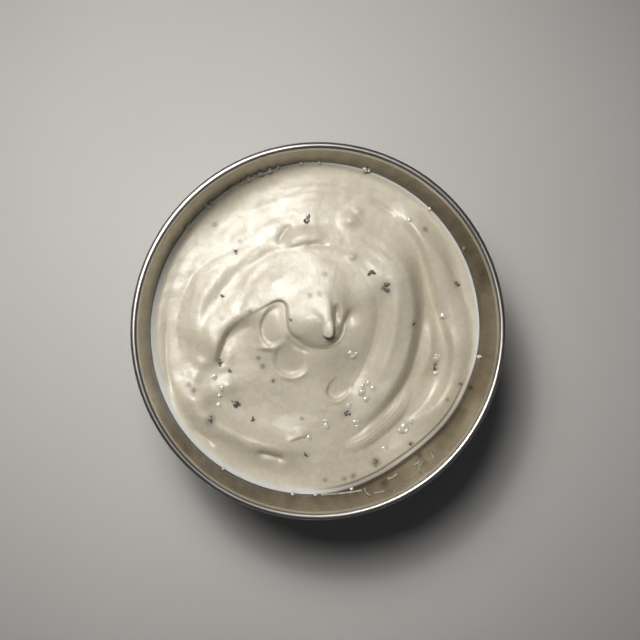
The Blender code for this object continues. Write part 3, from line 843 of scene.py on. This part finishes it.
def fold_dome(top):
    top.wave(0.45, [(1.9, 0.0, 4, 0.8), (2.05, 1.3, 4.5, 0.8), (2.15, 2.8, 4.5, 0.8),
             (2.0, 4.5, 5, 0.9), (1.6, 6.4, 5, 1.4), (0.9, 8.6, 5, 2.2)], "outer", (0.3, 0.6))
    top.roll(-1.5, 0.6, 0.7, [(3.6, 0.6), (3.65, 2.2), (3.55, 3.8), (3.1, 5.4)], (0.4, 0.5))
    top.roll(-0.8, 1.1, 1.4, [(6.2, 0.2), (6.5, 1.9), (6.4, 3.8), (5.6, 6.0), (4.3, 7.4)],
             (0.4, 0.6))
    top.crease(0.5, 0.4, [(-6.2, -0.2), (-5.0, -2.0), (-3.2, -3.4), (-0.8, -4.3)], (0.4, 0.3))
    px, py = top.x - RINGS_X, top.y - RINGS_Y
    for radius in (2.7, 3.3, 3.9):
        ring = np.exp(-((np.hypot(px, py) - radius) / 0.17) ** 2)
        top.z += 0.13 * ring * facing(np.arctan2(py, px), -50, 0.45, 0.3)


try_out("folds on the dome", fold_dome)

# %% [markdown]
# On top of the dome a tip has fallen over to the front. A height field can't
# make it, because it hangs over. So the inner rings of the net aren't spread
# over the plan, but along a finger that rises from the middle of the dome and
# bends. The finger is given by the line of its upper side, which is what the
# light shows, and its middle lies half a thickness below that line.

# %% Fallen tip
TIP_LINE = [(0, 0, 0), (0, -0.35, 0.15), (0, -1.0, 0.25), (0, -1.9, 0.25), (0.05, -2.8, 0.1)]
TIP_FOOT = 1.25           # radius in the plan where the tip grows out of the dome
TIP_RADIUS = 1.1          # half the finger's width
TIP_NECK = 0.42           # share of the rings that turn from the foot to the finger
TIP_LATE = 0.12           # share of the rings before the line starts
TIP_THIN = 0.5            # how much flatter than wide the finger is
TIP_SQUARED = 0.25        # how much squarer than an oval its section is
TIP_LEAN = radians(17)    # how far its flat side is tilted
CLEAR_OF_DOME = 0.03


def fallen_tip(share, direction):
    """Points on the tip. share runs from 0 at its foot to 1 at its end."""
    axis = curve(TIP_LINE, 12)
    narrowed = smooth(share / TIP_NECK)
    end = np.clip((share - TIP_NECK) / (1 - TIP_NECK), 0, 1)
    radius = np.where(share < TIP_NECK, TIP_FOOT + (TIP_RADIUS - TIP_FOOT) * narrowed,
                      TIP_RADIUS * np.sqrt(1 - end ** 6))
    at = np.clip((share - TIP_LATE) / (1 - TIP_LATE), 0, 1) * (len(axis) - 1)
    k = np.minimum(at.astype(int), len(axis) - 2)
    part = (at - k)[:, None]
    centre = axis[k] * (1 - part) + axis[k + 1] * part
    heading = np.gradient(axis, axis=0)
    heading = heading[k] * (1 - part) + heading[k + 1] * part
    heading /= np.linalg.norm(heading, axis=1)[:, None]
    heading = heading * narrowed[:, None] + np.array([0, 0, 1.0]) * (1 - narrowed[:, None])
    across = np.array([1.0, 0, 0]) - heading * heading[:, :1]
    across /= np.linalg.norm(across, axis=1)[:, None]
    forward = np.cross(heading, across)
    flat = 1 - TIP_THIN * narrowed
    centre[:, 2] -= forward[:, 2] * radius * flat
    boxy = 1 - TIP_SQUARED * narrowed
    u, v = np.cos(direction), np.sin(direction)
    u, v = np.sign(u) * np.abs(u) ** boxy, np.sign(v) * np.abs(v) ** boxy * flat
    c, s = np.cos(TIP_LEAN * narrowed), np.sin(TIP_LEAN * narrowed)
    u, v = u * c - v * s, v * c + u * s
    return centre + (u[:, None] * across + v[:, None] * forward) * radius[:, None]


def on_tip(x, y, height):
    """Points near the peak's middle, moved onto the tip. x and y start at the peak."""
    share = 1 - np.hypot(x, y) / TIP_FOOT
    loose = smooth(share / TIP_NECK)
    around = np.linspace(0, 2 * pi, 24)
    foot = dressing_height(PEAK_X + TIP_FOOT * np.cos(around), PEAK_Y + TIP_FOOT * np.sin(around))
    points = fallen_tip(share, np.arctan2(y, x)) + np.array([PEAK_X, PEAK_Y, 0])
    points[:, 2] += height * (1 - loose) + np.max(foot) * loose
    # the tip lies on the dome, and never sinks into it
    under = dressing_height(points[:, 0], points[:, 1]) + CLEAR_OF_DOME * loose
    points[:, 2] = np.maximum(points[:, 2], under)
    return points


tip_steps = np.diff(curve(TIP_LINE, 12), axis=0)
print("tip:", round(float(np.linalg.norm(tip_steps, axis=1).sum()), 2), "mm long")

# %% [markdown]
# ## The whole surface
# Now everything is added up. Near the wall the strokes die away, and the
# dressing climbs the last millimetre as a thin film. A last layer of gentle
# noise keeps the smooth flanks from looking machined.

# %% Edge and unevenness
STROKES_END = 3.0      # distance from the wall over which the strokes die away
CLIMB = 0.5            # height of the film up the wall
CLIMB_REACH = 1.5      # distance from the wall where it starts to climb
SLUMP_LOSS = 0.3       # it climbs less where it has slumped, and has a groove as deep
GROOVE_AT = 0.65       # distance from the wall
GROOVE_WIDTH = 0.25
CALM_PEAK = 0.3        # share of the unevenness that is left round the peak


def handmade(x, y, size, seed):
    """Gentle noise over the plan, about -1 to 1, with lumps of a size in mm."""
    return np.array([noise.noise(Vector((a / size, b / size, seed))) for a, b in zip(x, y)])


def climb_wall(top, direction, from_wall):
    """Film up the wall, and a fine groove along it where the dressing has slumped."""
    low = slumped(direction)
    top.z += (CLIMB - SLUMP_LOSS * low) * np.clip(1 - from_wall / CLIMB_REACH, 0, 1) ** 2
    top.z -= SLUMP_LOSS * low * np.exp(-((from_wall - GROOVE_AT) / GROOVE_WIDTH) ** 2)


def unevenness(top, direction, from_wall):
    """Lumps of two sizes, and streaks round the cup, all weaker at the wall and the peak."""
    from_peak = np.hypot(top.x - PEAK_X, top.y - PEAK_Y)
    calm = CALM_PEAK + (1 - CALM_PEAK) * smooth((from_peak - 4) / 8)
    calm *= smooth(from_wall / CLIMB_REACH)
    from_axis = np.hypot(top.x, top.y)
    streaks = np.array([noise.noise(Vector((3 * cos(t), 3 * sin(t), r / 1.3)))
                        for t, r in zip(direction, from_axis)])
    top.z += calm * (0.11 * handmade(top.x, top.y, 4.5, 3) + 0.05 * handmade(top.x, top.y, 1.7, 8)
                     + 0.06 * streaks * smooth(from_axis / 8))


# %% Height of the dressing
def dressing_height(x, y):
    """Height over the filling level, of all but the tip."""
    top = Relief(x, y)
    mound(top)
    ground = top.z.copy()
    for add in (heaps, main_fold, right_rings, front_swirls, spoon_dents):
        add(top)
    direction = np.arctan2(y, x)
    from_wall = edge_radius(direction) - np.hypot(x, y)
    top.z = ground + (top.z - ground) * smooth(from_wall / STROKES_END)
    climb_wall(top, direction, from_wall)
    for add in (raise_dome, fold_dome, small_folds):
        add(top)
    top.combed(0.045, 0.8, 1.6, [s[:2] for s in RIBBON])
    unevenness(top, direction, from_wall)
    return top.z


def dressing_top(x, y):
    """Points of the finished top over the plan points x, y."""
    points = np.stack([x, y, dressing_height(x, y)], axis=1)
    inside = np.hypot(x - PEAK_X, y - PEAK_Y) < TIP_FOOT - 1e-6
    if inside.any():
        points[inside] = on_tip(x[inside] - PEAK_X, y[inside] - PEAK_Y, points[inside, 2])
    points[:, 2] += FILL_LEVEL
    return points


crest = dressing_height(np.array([CREST_X]), np.array([CREST_Y]))
print("the dome's crest is", round(float(crest[0]), 2), "mm over the filling level")

# %% [markdown]
# The net has spokes that run from the peak to the wall, and rings that are
# closest round the peak, where the form is finest. Under the top it follows
# the wall down to the base, a tenth of a millimetre inside the steel, so no
# gap shows at the edge. The poles are closed with a fan.

# %% Rings of the net
SPOKES = 420
TIP_RINGS = 26
TOP_RINGS = 190
INTO_WALL = 0.1
LOWEST = SHEET - INTO_WALL       # just inside the base of the cup
BEVEL_UP, BEVEL_IN = 3.0, 2.6    # between the side and the underside


def plan_of_top(around):
    """Plan of the rings on the tip, and then of those from its foot to the wall."""
    to_x, to_y = np.cos(around), np.sin(around)
    edge = edge_radius(around) + INTO_WALL
    reach = [TIP_FOOT * k / TIP_RINGS for k in range(1, TIP_RINGS)]
    x, y = [PEAK_X + r * to_x for r in reach], [PEAK_Y + r * to_y for r in reach]
    for part in (np.arange(TOP_RINGS + 1) / TOP_RINGS) ** 1.1:
        x.append((PEAK_X + TIP_FOOT * to_x) * (1 - part) + edge * to_x * part)
        y.append((PEAK_Y + TIP_FOOT * to_y) * (1 - part) + edge * to_y * part)
    return np.concatenate([[PEAK_X]] + x), np.concatenate([[PEAK_Y]] + y)


def side_rings(around):
    """Points of the rings down the wall, and of the last one on the base."""
    edge_z = FILL_LEVEL + wall_height(around)
    bevel_z = LOWEST + BEVEL_UP
    heights = [edge_z + (bevel_z - edge_z) * part for part in (0.12, 0.35, 0.6, 0.8, 1)]
    rings = [(wall_line(INTO_WALL, z), z) for z in heights]
    rings.append((wall_line(INTO_WALL, bevel_z) - BEVEL_IN, np.full(SPOKES, LOWEST)))
    return [np.stack([r * np.cos(around), r * np.sin(around), z], axis=1) for r, z in rings]


def ring_faces(rings, spokes):
    """Faces between rings of points, closed by a fan at the first and the last point."""
    faces = [(0, 1 + s, 1 + (s + 1) % spokes) for s in range(spokes)]
    for k in range(rings - 1):
        a, b = 1 + k * spokes, 1 + (k + 1) * spokes
        for s in range(spokes):
            n = (s + 1) % spokes
            faces.append((a + s, b + s, b + n, a + n))
    last = 1 + (rings - 1) * spokes
    end = 1 + rings * spokes
    faces += [(last + (s + 1) % spokes, last + s, end) for s in range(spokes)]
    return faces


# %% Net of the dressing
around = np.linspace(0, 2 * pi, SPOKES, endpoint=False)
top_points = dressing_top(*plan_of_top(around))
all_points = np.vstack([top_points] + side_rings(around) + [[(0, 0, LOWEST)]])
rings = (len(all_points) - 2) // SPOKES
dressing_mesh = bpy.data.meshes.new("dressing_surface")
dressing_mesh.from_pydata((all_points * MM).tolist(), [], ring_faces(rings, SPOKES))
dressing_mesh.update()
dressing_mesh.shade_smooth()
dressing = bpy.data.objects.new("dressing_surface", dressing_mesh)
bpy.context.scene.collection.objects.link(dressing)
print("dressing:", rings, "rings,", len(all_points), "points, top at",
      round(float(top_points[:, 2].max()), 2), "mm")

# %% [markdown]
# ## Numbers painted on the surface
# The finish of the dressing changes from place to place in ways that follow
# its form, so two numbers are stored at each point of the net for the material
# to read. One says how far the cream has thinned to a film at the wall, which
# is painted paler than the cream: a real film with a painted highlight.
# The other is a grey mark: a real stain round a fleck of pepper and over a sunk
# one, and painted shade in a band along the wall at the lower right.

# %% Pepper, seen and sunk
# x, y, size and how deep it is sunk, as a share of the size
PEPPER = [(10.2, 11.0, 1.1, 0.5), (12.9, 8.6, 0.9, 0.5), (13.3, 7.5, 0.9, 0.5),
          (12.4, 7.9, 0.6, 0.5), (27.2, 8.6, 0.8, 0.4), (-15.0, 14.9, 0.7, 0.5),
          (-17.6, 6.5, 0.6, 0.5), (-1.4, 21.3, 0.8, 0.5), (-1.8, 20.3, 0.8, 0.5),
          (-18.0, -6.2, 1.0, 0.5), (-16.3, -7.6, 0.7, 0.5), (-15.0, -13.8, 1.3, 0.5),
          (-19.9, -16.8, 0.9, 0.8), (-11.7, -17.0, 0.7, 0.6), (5.9, -16.0, 1.0, 0.6),
          (18.7, -22.1, 0.7, 0.5), (12.0, -25.5, 0.9, 0.8), (-1.8, -23.7, 0.6, 0.6),
          (-8.0, -9.4, 0.6, 0.6), (28.2, -10.5, 0.7, 0.6), (18.5, 1.2, 0.6, 0.7),
          (-5.1, 2.1, 0.4, 0.5), (23.5, -6.8, 0.6, 0.6), (23.5, -7.8, 0.7, 0.6)]
# x, y and size
SUNK = [(-1.5, 6.6, 0.6), (0.3, 7.0, 0.6), (-10, -6.8, 0.5), (-12.6, 3.7, 0.4),
        (-17.8, 2.2, 0.5), (-18.8, 19.8, 0.5), (-14.2, 16.8, 0.4), (-25, -8.2, 0.5),
        (-23.9, -10, 0.5), (-23, -11.2, 0.4), (1.5, 10.6, 0.5), (-2.5, -16.8, 0.4),
        (7.5, -28, 0.5), (2, -28.6, 0.4), (5.7, -28.5, 0.4), (20.8, 19, 0.5),
        (-10.8, -5.2, 0.4), (25.5, -13.5, 0.4), (-19.9, -16.8, 0.9), (12, -25.5, 0.9)]
print("pepper:", len(PEPPER), "flecks, and", len(SUNK), "sunk ones")

# %% Film and stains, with a painted highlight and painted shade
# width of the film at the wall, by direction in degrees
FILM_WIDTHS = {0: 0.5, 60: 0.35, 130: 0.2, 160: 0.6, 180: 1.0, 225: 1.2, 265: 1.0, 285: 0.5,
               300: 0.1, 335: 0.1, 360: 0.5}
x, y = all_points[:, 0], all_points[:, 1]
direction = np.arctan2(y, x)
from_wall = edge_radius(direction) - np.hypot(x, y)
width = np.interp(np.degrees(direction) % 360, list(FILM_WIDTHS), list(FILM_WIDTHS.values()))
# painted highlight: this share makes the film at the wall paler than the cream
film_and_highlight = smooth(1.3 - from_wall / width)
# painted shade: a dark band at the edge and in the groove where the dressing has slumped, at the
# lower right
stain_and_shade = slumped(direction) * (0.6 * np.exp(-((from_wall - 0.05) / 0.22) ** 2)
                              + 0.7 * np.exp(-((from_wall - 0.8) / 0.25) ** 2)
                              + 0.45 * smooth(1.2 - from_wall / 1.1))
stain_and_shade = np.clip(stain_and_shade, 0, 1)
marks = [(mark_x, mark_y, size, 1) for mark_x, mark_y, size in SUNK]
marks += [(mark_x, mark_y, 0.9 * size, 0.4) for mark_x, mark_y, size, sunk in PEPPER]
for mark_x, mark_y, size, strength in marks:
    mark = np.exp(-((x - mark_x) ** 2 + (y - mark_y) ** 2) / size ** 2)
    stain_and_shade = np.maximum(stain_and_shade, strength * mark)
paint(dressing_mesh, "film_and_highlight", film_and_highlight)
paint(dressing_mesh, "stain_and_shade", stain_and_shade)
print("film on", int((film_and_highlight > 0.5).sum()), "points, stain on", int((stain_and_shade > 0.5).sum()))

# %% [markdown]
# ## Cream
# The dressing is an emulsion of oil, egg and cheese. Light goes a little way
# into it and comes out softened, which is what subsurface scattering does, and
# it has a wet sheen that changes softly from place to place. Its colour is a
# warm off-white with slightly yellower and paler patches.

# %% Cream finish
cream, tree, shader, place = new_finish("cream_dressing")
patches = ranged(tree, grain(tree, place, 7, 4, 0.6), 0.35, 0.65)
speckle = ranged(tree, grain(tree, place, 0.9, 3, 0.6), 0.38, 0.62)
film_and_highlight_there = node(tree, "ShaderNodeAttribute", attribute_name="film_and_highlight").outputs["Fac"]
stain_and_shade_there = node(tree, "ShaderNodeAttribute", attribute_name="stain_and_shade").outputs["Fac"]
colour = blended(tree, patches, (0.69, 0.64, 0.535), (0.72, 0.675, 0.555))
colour = blended(tree, speckle, colour, (0.745, 0.70, 0.59))
# the film near the wall is painted paler than the cream: a painted highlight on a real film
colour = blended(tree, film_and_highlight_there, colour, (0.82, 0.82, 0.79))
# grey marks: real stains round pepper, and painted shade along the edge at the lower right
colour = blended(tree, ranged(tree, stain_and_shade_there, 0, 1, 0, 0.75), colour, (0.22, 0.20, 0.18))
tree.links.new(colour, shader.inputs["Base Color"])
wetness = ranged(tree, grain(tree, place, 5, 3, 0.6), 0.3, 0.7, 0.38, 0.48)
tree.links.new(wetness, shader.inputs["Roughness"])
tree.links.new(bumped(tree, grain(tree, place, 0.7, 3, 0.55), 0.05), shader.inputs["Normal"])
shader.inputs["Specular IOR Level"].default_value = 1.0
shader.inputs["Subsurface Weight"].default_value = 0.2
shader.inputs["Subsurface Radius"].default_value = (1, 0.8, 0.5)
shader.inputs["Subsurface Scale"].default_value = 0.8 * MM
dressing_mesh.materials.append(cream)
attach(dressing, "root")
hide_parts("dressing")
print("cream_dressing:", len(tree.nodes), "nodes")

# %% [markdown]
# ## Cracked pepper
# Coarse black pepper is cracked, not round: each fleck is an angular grain,
# lying half in the dressing. The places and sizes are listed. A tree of
# nodes puts a ball on each point, squashes it, turns it at random from a fixed
# seed, and pushes its surface in and out, so no two are alike.

# %% Tree that scatters grains
WHOLE_TURN = 6.28         # radians, near enough for a random turn
BALL_RADIUS = 0.5 * MM    # of a grain of size 1
DENTS_SCALE = 2600.0      # a dent is about 0.4 mm across


def scatter_tree(name, finish, detail, flat, rough, tilt):
    """Puts a squashed ball of the stored size on each point. rough is how far its
    surface is pushed, and tilt how far it leans over, in radians."""
    group, start = new_tree(name, Seed=("Int", 1), Flatness=("Float", flat),
                            Roughness=("Float", rough))
    ball = node(group, "GeometryNodeMeshIcoSphere",
                {"Radius": BALL_RADIUS, "Subdivisions": detail})
    size = node(group, "GeometryNodeInputNamedAttribute", {"Name": "size"}, data_type="FLOAT")
    turn = node(group, "FunctionNodeRandomValue",
                {0: (-tilt, -tilt, 0), 1: (tilt, tilt, WHOLE_TURN)},
                {"Seed": start["Seed"]}, data_type="FLOAT_VECTOR")
    squash = node(group, "ShaderNodeCombineXYZ", {"X": 1.0, "Y": 0.8}, {"Z": start["Flatness"]})
    scale = node(group, "ShaderNodeVectorMath",
                 links={0: squash.outputs[0], "Scale": size.outputs[0]}, operation="SCALE")
    placed = node(group, "GeometryNodeInstanceOnPoints",
                  links={"Points": start["Geometry"], "Instance": ball.outputs["Mesh"],
                         "Rotation": turn.outputs[0], "Scale": scale.outputs[0]})
    real = node(group, "GeometryNodeRealizeInstances", links={"Geometry": placed.outputs[0]})
    dents = node(group, "ShaderNodeTexNoise", {"Scale": DENTS_SCALE, "Detail": 1.0})
    centred = node(group, "ShaderNodeVectorMath", {1: (0.5, 0.5, 0.5)},
                   {0: dents.outputs["Color"]}, operation="SUBTRACT")
    pushed = node(group, "ShaderNodeVectorMath",
                  links={0: centred.outputs[0], "Scale": start["Roughness"]}, operation="SCALE")
    broken = node(group, "GeometryNodeSetPosition",
                  links={"Geometry": real.outputs[0], "Offset": pushed.outputs[0]})
    return end_tree(group, broken.outputs[0], finish)


# %% [markdown]
# Pepper is nearly black outside, and brown to grey where it is cracked open.
# Grains that are half sunk have cream on them, so the paler tone is common.

# %% Pepper finish
pepper, tree, shader, place = new_finish("cracked_pepper")
cracked = ranged(tree, grain(tree, place, 0.45, 2, 0.6), 0.38, 0.56)
tree.links.new(blended(tree, cracked, (0.13, 0.12, 0.11), (0.36, 0.33, 0.29)),
               shader.inputs["Base Color"])
tree.links.new(ranged(tree, cracked, 0, 1, 0.35, 0.7), shader.inputs["Roughness"])
print("cracked_pepper:", len(tree.nodes), "nodes")

# %% [markdown]
# A mill breaks a peppercorn into one larger bit and a few small ones that fall
# beside it, so every place in the list becomes several grains.

# %% Pepper in its places
GRAIN_THICKNESS = 0.6     # share of its size


def on_dressing(places):
    """Points on the dressing, and sizes, for places x, y, size, sunk share."""
    table = np.array(places)
    points = dressing_top(table[:, 0], table[:, 1])
    points[:, 2] += table[:, 2] * (0.5 - table[:, 3]) * GRAIN_THICKNESS
    return points.tolist(), table[:, 2].tolist()


def broken_up(places, pieces, seed):
    """Each place becomes a few bits, the first one the largest and in the middle."""
    rng, bits = random.Random(seed), []
    for x, y, size, sunk in places:
        for k in range(pieces):
            reach = 0 if k == 0 else rng.uniform(0.4, 0.8) * size
            turn = rng.uniform(0, 2 * pi)
            share = 1.05 if k == 0 else rng.uniform(0.35, 0.75)
            bits.append((x + reach * cos(turn), y + reach * sin(turn), size * share, sunk))
    return bits


pepper_tree = scatter_tree("pepper_on_points", pepper, 3, 0.6, 0.4 * MM, WHOLE_TURN)
spots, sizes = on_dressing(broken_up(PEPPER, 4, 11))
flecks = shaped_by(pepper_tree, "pepper_flecks", spots, (), sizes, {"Seed": 5})
flecks.data.shade_flat()
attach(flecks, "root")

# %% [markdown]
# ## Wet grains and drops
# Bits of grated cheese and garlic show as small wet grains, mostly at the
# front right, and each one holds a bright point of light. Beads of oil sit
# where the dressing climbs the wall at the back left. Both are the same tree
# again, with a nearly smooth ball in place of a broken one. Their finish is
# cream under a clear coat, which keeps the points of light sharp.

# %% Wet finish
wet, tree, shader, place = new_finish("wet_grains")
tree.links.new(blended(tree, ranged(tree, grain(tree, place, 0.6, 2), 0.35, 0.65),
                       (0.70, 0.655, 0.56), (0.82, 0.79, 0.72)), shader.inputs["Base Color"])
tree.links.new(ranged(tree, grain(tree, place, 0.3, 2), 0.3, 0.7, 0.03, 0.10),
               shader.inputs["Roughness"])
shader.inputs["Specular IOR Level"].default_value = 1.0
shader.inputs["Coat Weight"].default_value = 1.0
shader.inputs["Coat Roughness"].default_value = 0.04
print("wet finish:", len(tree.nodes), "nodes")

# %% Wet grains in their places
# x, y, size and sunk share
WET = [(9.0, -12.0, 0.8, 0.6), (9.3, -11.0, 0.7, 0.6), (9.9, -13.0, 0.7, 0.6),
       (10.3, -10.0, 0.6, 0.6), (11.0, -11.0, 0.5, 0.6), (6.5, -14.5, 0.6, 0.6),
       (2.2, -18.2, 0.7, 0.6), (7.9, -17.5, 0.6, 0.6), (8.3, -18.5, 0.5, 0.6),
       (7.2, -4.8, 0.7, 0.65), (6.6, -4.4, 0.5, 0.6), (23.7, -5.5, 0.7, 0.6),
       (23.7, -8.5, 0.6, 0.6), (13.7, -22.8, 0.6, 0.6), (17.5, -19.0, 1.1, 0.6),
       (19.0, -17.7, 0.6, 0.6), (-1.1, -20.4, 0.6, 0.6), (-19.0, -8.8, 0.6, 0.6),
       (-17.6, -10.8, 0.6, 0.6), (-18.0, -12.2, 0.5, 0.6), (-18.3, -14.0, 0.5, 0.6),
       (2.0, -17.4, 0.5, 0.6), (24.6, 2.6, 0.6, 0.6), (17.8, 20.8, 0.5, 0.6)]
COATED = 2.0        # a wet grain is wider by this factor than the bit inside it
COAT_LIFT = 0.15    # and stands higher by this share of its size
wet_tree = scatter_tree("grains_on_points", wet, 4, 0.34, 0.02 * MM, 0.15)
spots, sizes = on_dressing([(x, y, COATED * size, sunk - COAT_LIFT)
                            for x, y, size, sunk in broken_up(WET, 3, 3)])
grains = shaped_by(wet_tree, "wet_grains", spots, (), sizes, {"Seed": 8})
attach(grains, "root")

# %% Drops on the wall
# direction in degrees, height over the filling level, size
DROPS = [(141, -0.6, 0.8), (137, -0.9, 0.5), (131, -0.8, 0.9), (129, -0.3, 0.6),
         (124, -0.6, 0.5), (120.5, -0.2, 0.9), (118, 0.2, 0.5), (116, 0.3, 0.7),
         (114, 0.7, 0.8), (111.5, 0.6, 0.5), (109.5, 0.9, 0.8), (106, 1.1, 0.8),
         (103, 1.3, 0.5), (95, 1.5, 0.6), (89, 1.7, 0.6), (73, 2.1, 0.8), (71.5, 1.9, 0.5),
         (46.5, 1.6, 0.6), (350.5, 2.2, 0.7), (270, 0.8, 0.5), (262, 0.9, 0.6),
         (283, 0.2, 0.5), (236, 1.0, 0.5)]
ABOVE_EDGE = 0.3     # every drop sits a little above its height in the list
DROP_LIFT = 0.3      # from the wall, as a share of the size
DROP_LENGTH = 1.5    # as a share of the size


def on_wall(direction, height, lift):
    """Point on the wall, lifted a little towards the middle of the cup."""
    z = FILL_LEVEL + height
    r, turn = wall_line(0, z) - lift, radians(direction)
    return (r * cos(turn), r * sin(turn), z)


drops = shaped_by(wet_tree, "wall_drops",
                  [on_wall(turn, z + ABOVE_EDGE, DROP_LIFT * size) for turn, z, size in DROPS],
                  (), [DROP_LENGTH * size for turn, z, size in DROPS],
                  {"Seed": 2, "Flatness": 0.7})
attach(drops, "root")

# %% [markdown]
# ## Smears on the wall
# Filling the cup left a few smears of dressing on the wall. Each is a line of
# points with a thickness, and a tree turns the lines into thin rounded ribs.
# They are so thin that the steel shows through, so their finish is a darker
# mixture of the two, and less wet than the cream.

# %% Tree that thickens lines
def smear_tree(finish):
    """Gives every line a round section, as thick as the sizes stored along it."""
    group, start = new_tree("thickened_lines", Thickness=("Float", 0.22 * MM))
    path = node(group, "GeometryNodeMeshToCurve", links={"Mesh": start["Geometry"]})
    size = node(group, "GeometryNodeInputNamedAttribute", {"Name": "size"}, data_type="FLOAT")
    swelled = node(group, "GeometryNodeSetCurveRadius",
                   links={"Curve": path.outputs[0], "Radius": size.outputs[0]})
    ring = node(group, "GeometryNodeCurvePrimitiveCircle", {"Resolution": 10},
                {"Radius": start["Thickness"]})
    swept = node(group, "GeometryNodeCurveToMesh", {"Fill Caps": True},
                 {"Curve": swelled.outputs[0], "Profile Curve": ring.outputs[0]})
    return end_tree(group, swept.outputs[0], finish)


# %% Film of cream on steel
thin_film, tree, shader, place = new_finish("thin_film")
tree.links.new(blended(tree, ranged(tree, grain(tree, place, 0.8, 2), 0.35, 0.65),
                       (0.40, 0.365, 0.31), (0.62, 0.58, 0.50)), shader.inputs["Base Color"])
shader.inputs["Roughness"].default_value = 0.35
print("thin_film:", len(tree.nodes), "nodes")

# %% Smears in their places
# stations of direction in degrees and height over the filling level
SMEARS = [[(308.1, 2.4), (306.6, 4.2), (305.6, 6)], [(306.2, 2.4), (308.6, 2.9)],
          [(306.6, 3.9), (309.2, 3.6)], [(287.3, 1.6), (287, 3.2), (287.6, 5)],
          [(289.2, 4.6), (291, 5.0), (292.6, 5.4)], [(296, 1.5), (297.5, 1.9), (299.5, 1.6)],
          [(272, 0.8), (276, 0.9), (281, 1.3), (286, 1.9)], [(313, 3.2), (312.4, 4.6)],
          [(28, 2.2), (29, 3.4)]]
SMEAR_LIFT = 0.02    # from the wall
points, edges, sizes = [], [], []
for smear in SMEARS:
    path = curve(smear, 5)
    edges += [(len(points) + k, len(points) + k + 1) for k in range(len(path) - 1)]
    for k, (turn, height) in enumerate(path):
        points.append(on_wall(turn, height, SMEAR_LIFT))
        swell = sin(pi * (k + 0.3) / (len(path) - 0.4))    # thin at both ends, and uneven
        sizes.append(0.12 + 0.22 * swell + 0.1 * sin(2.6 * k))
smears = shaped_by(smear_tree(thin_film), "wall_smears", points, edges, sizes)
smears.data.shade_smooth()
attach(smears, "root")
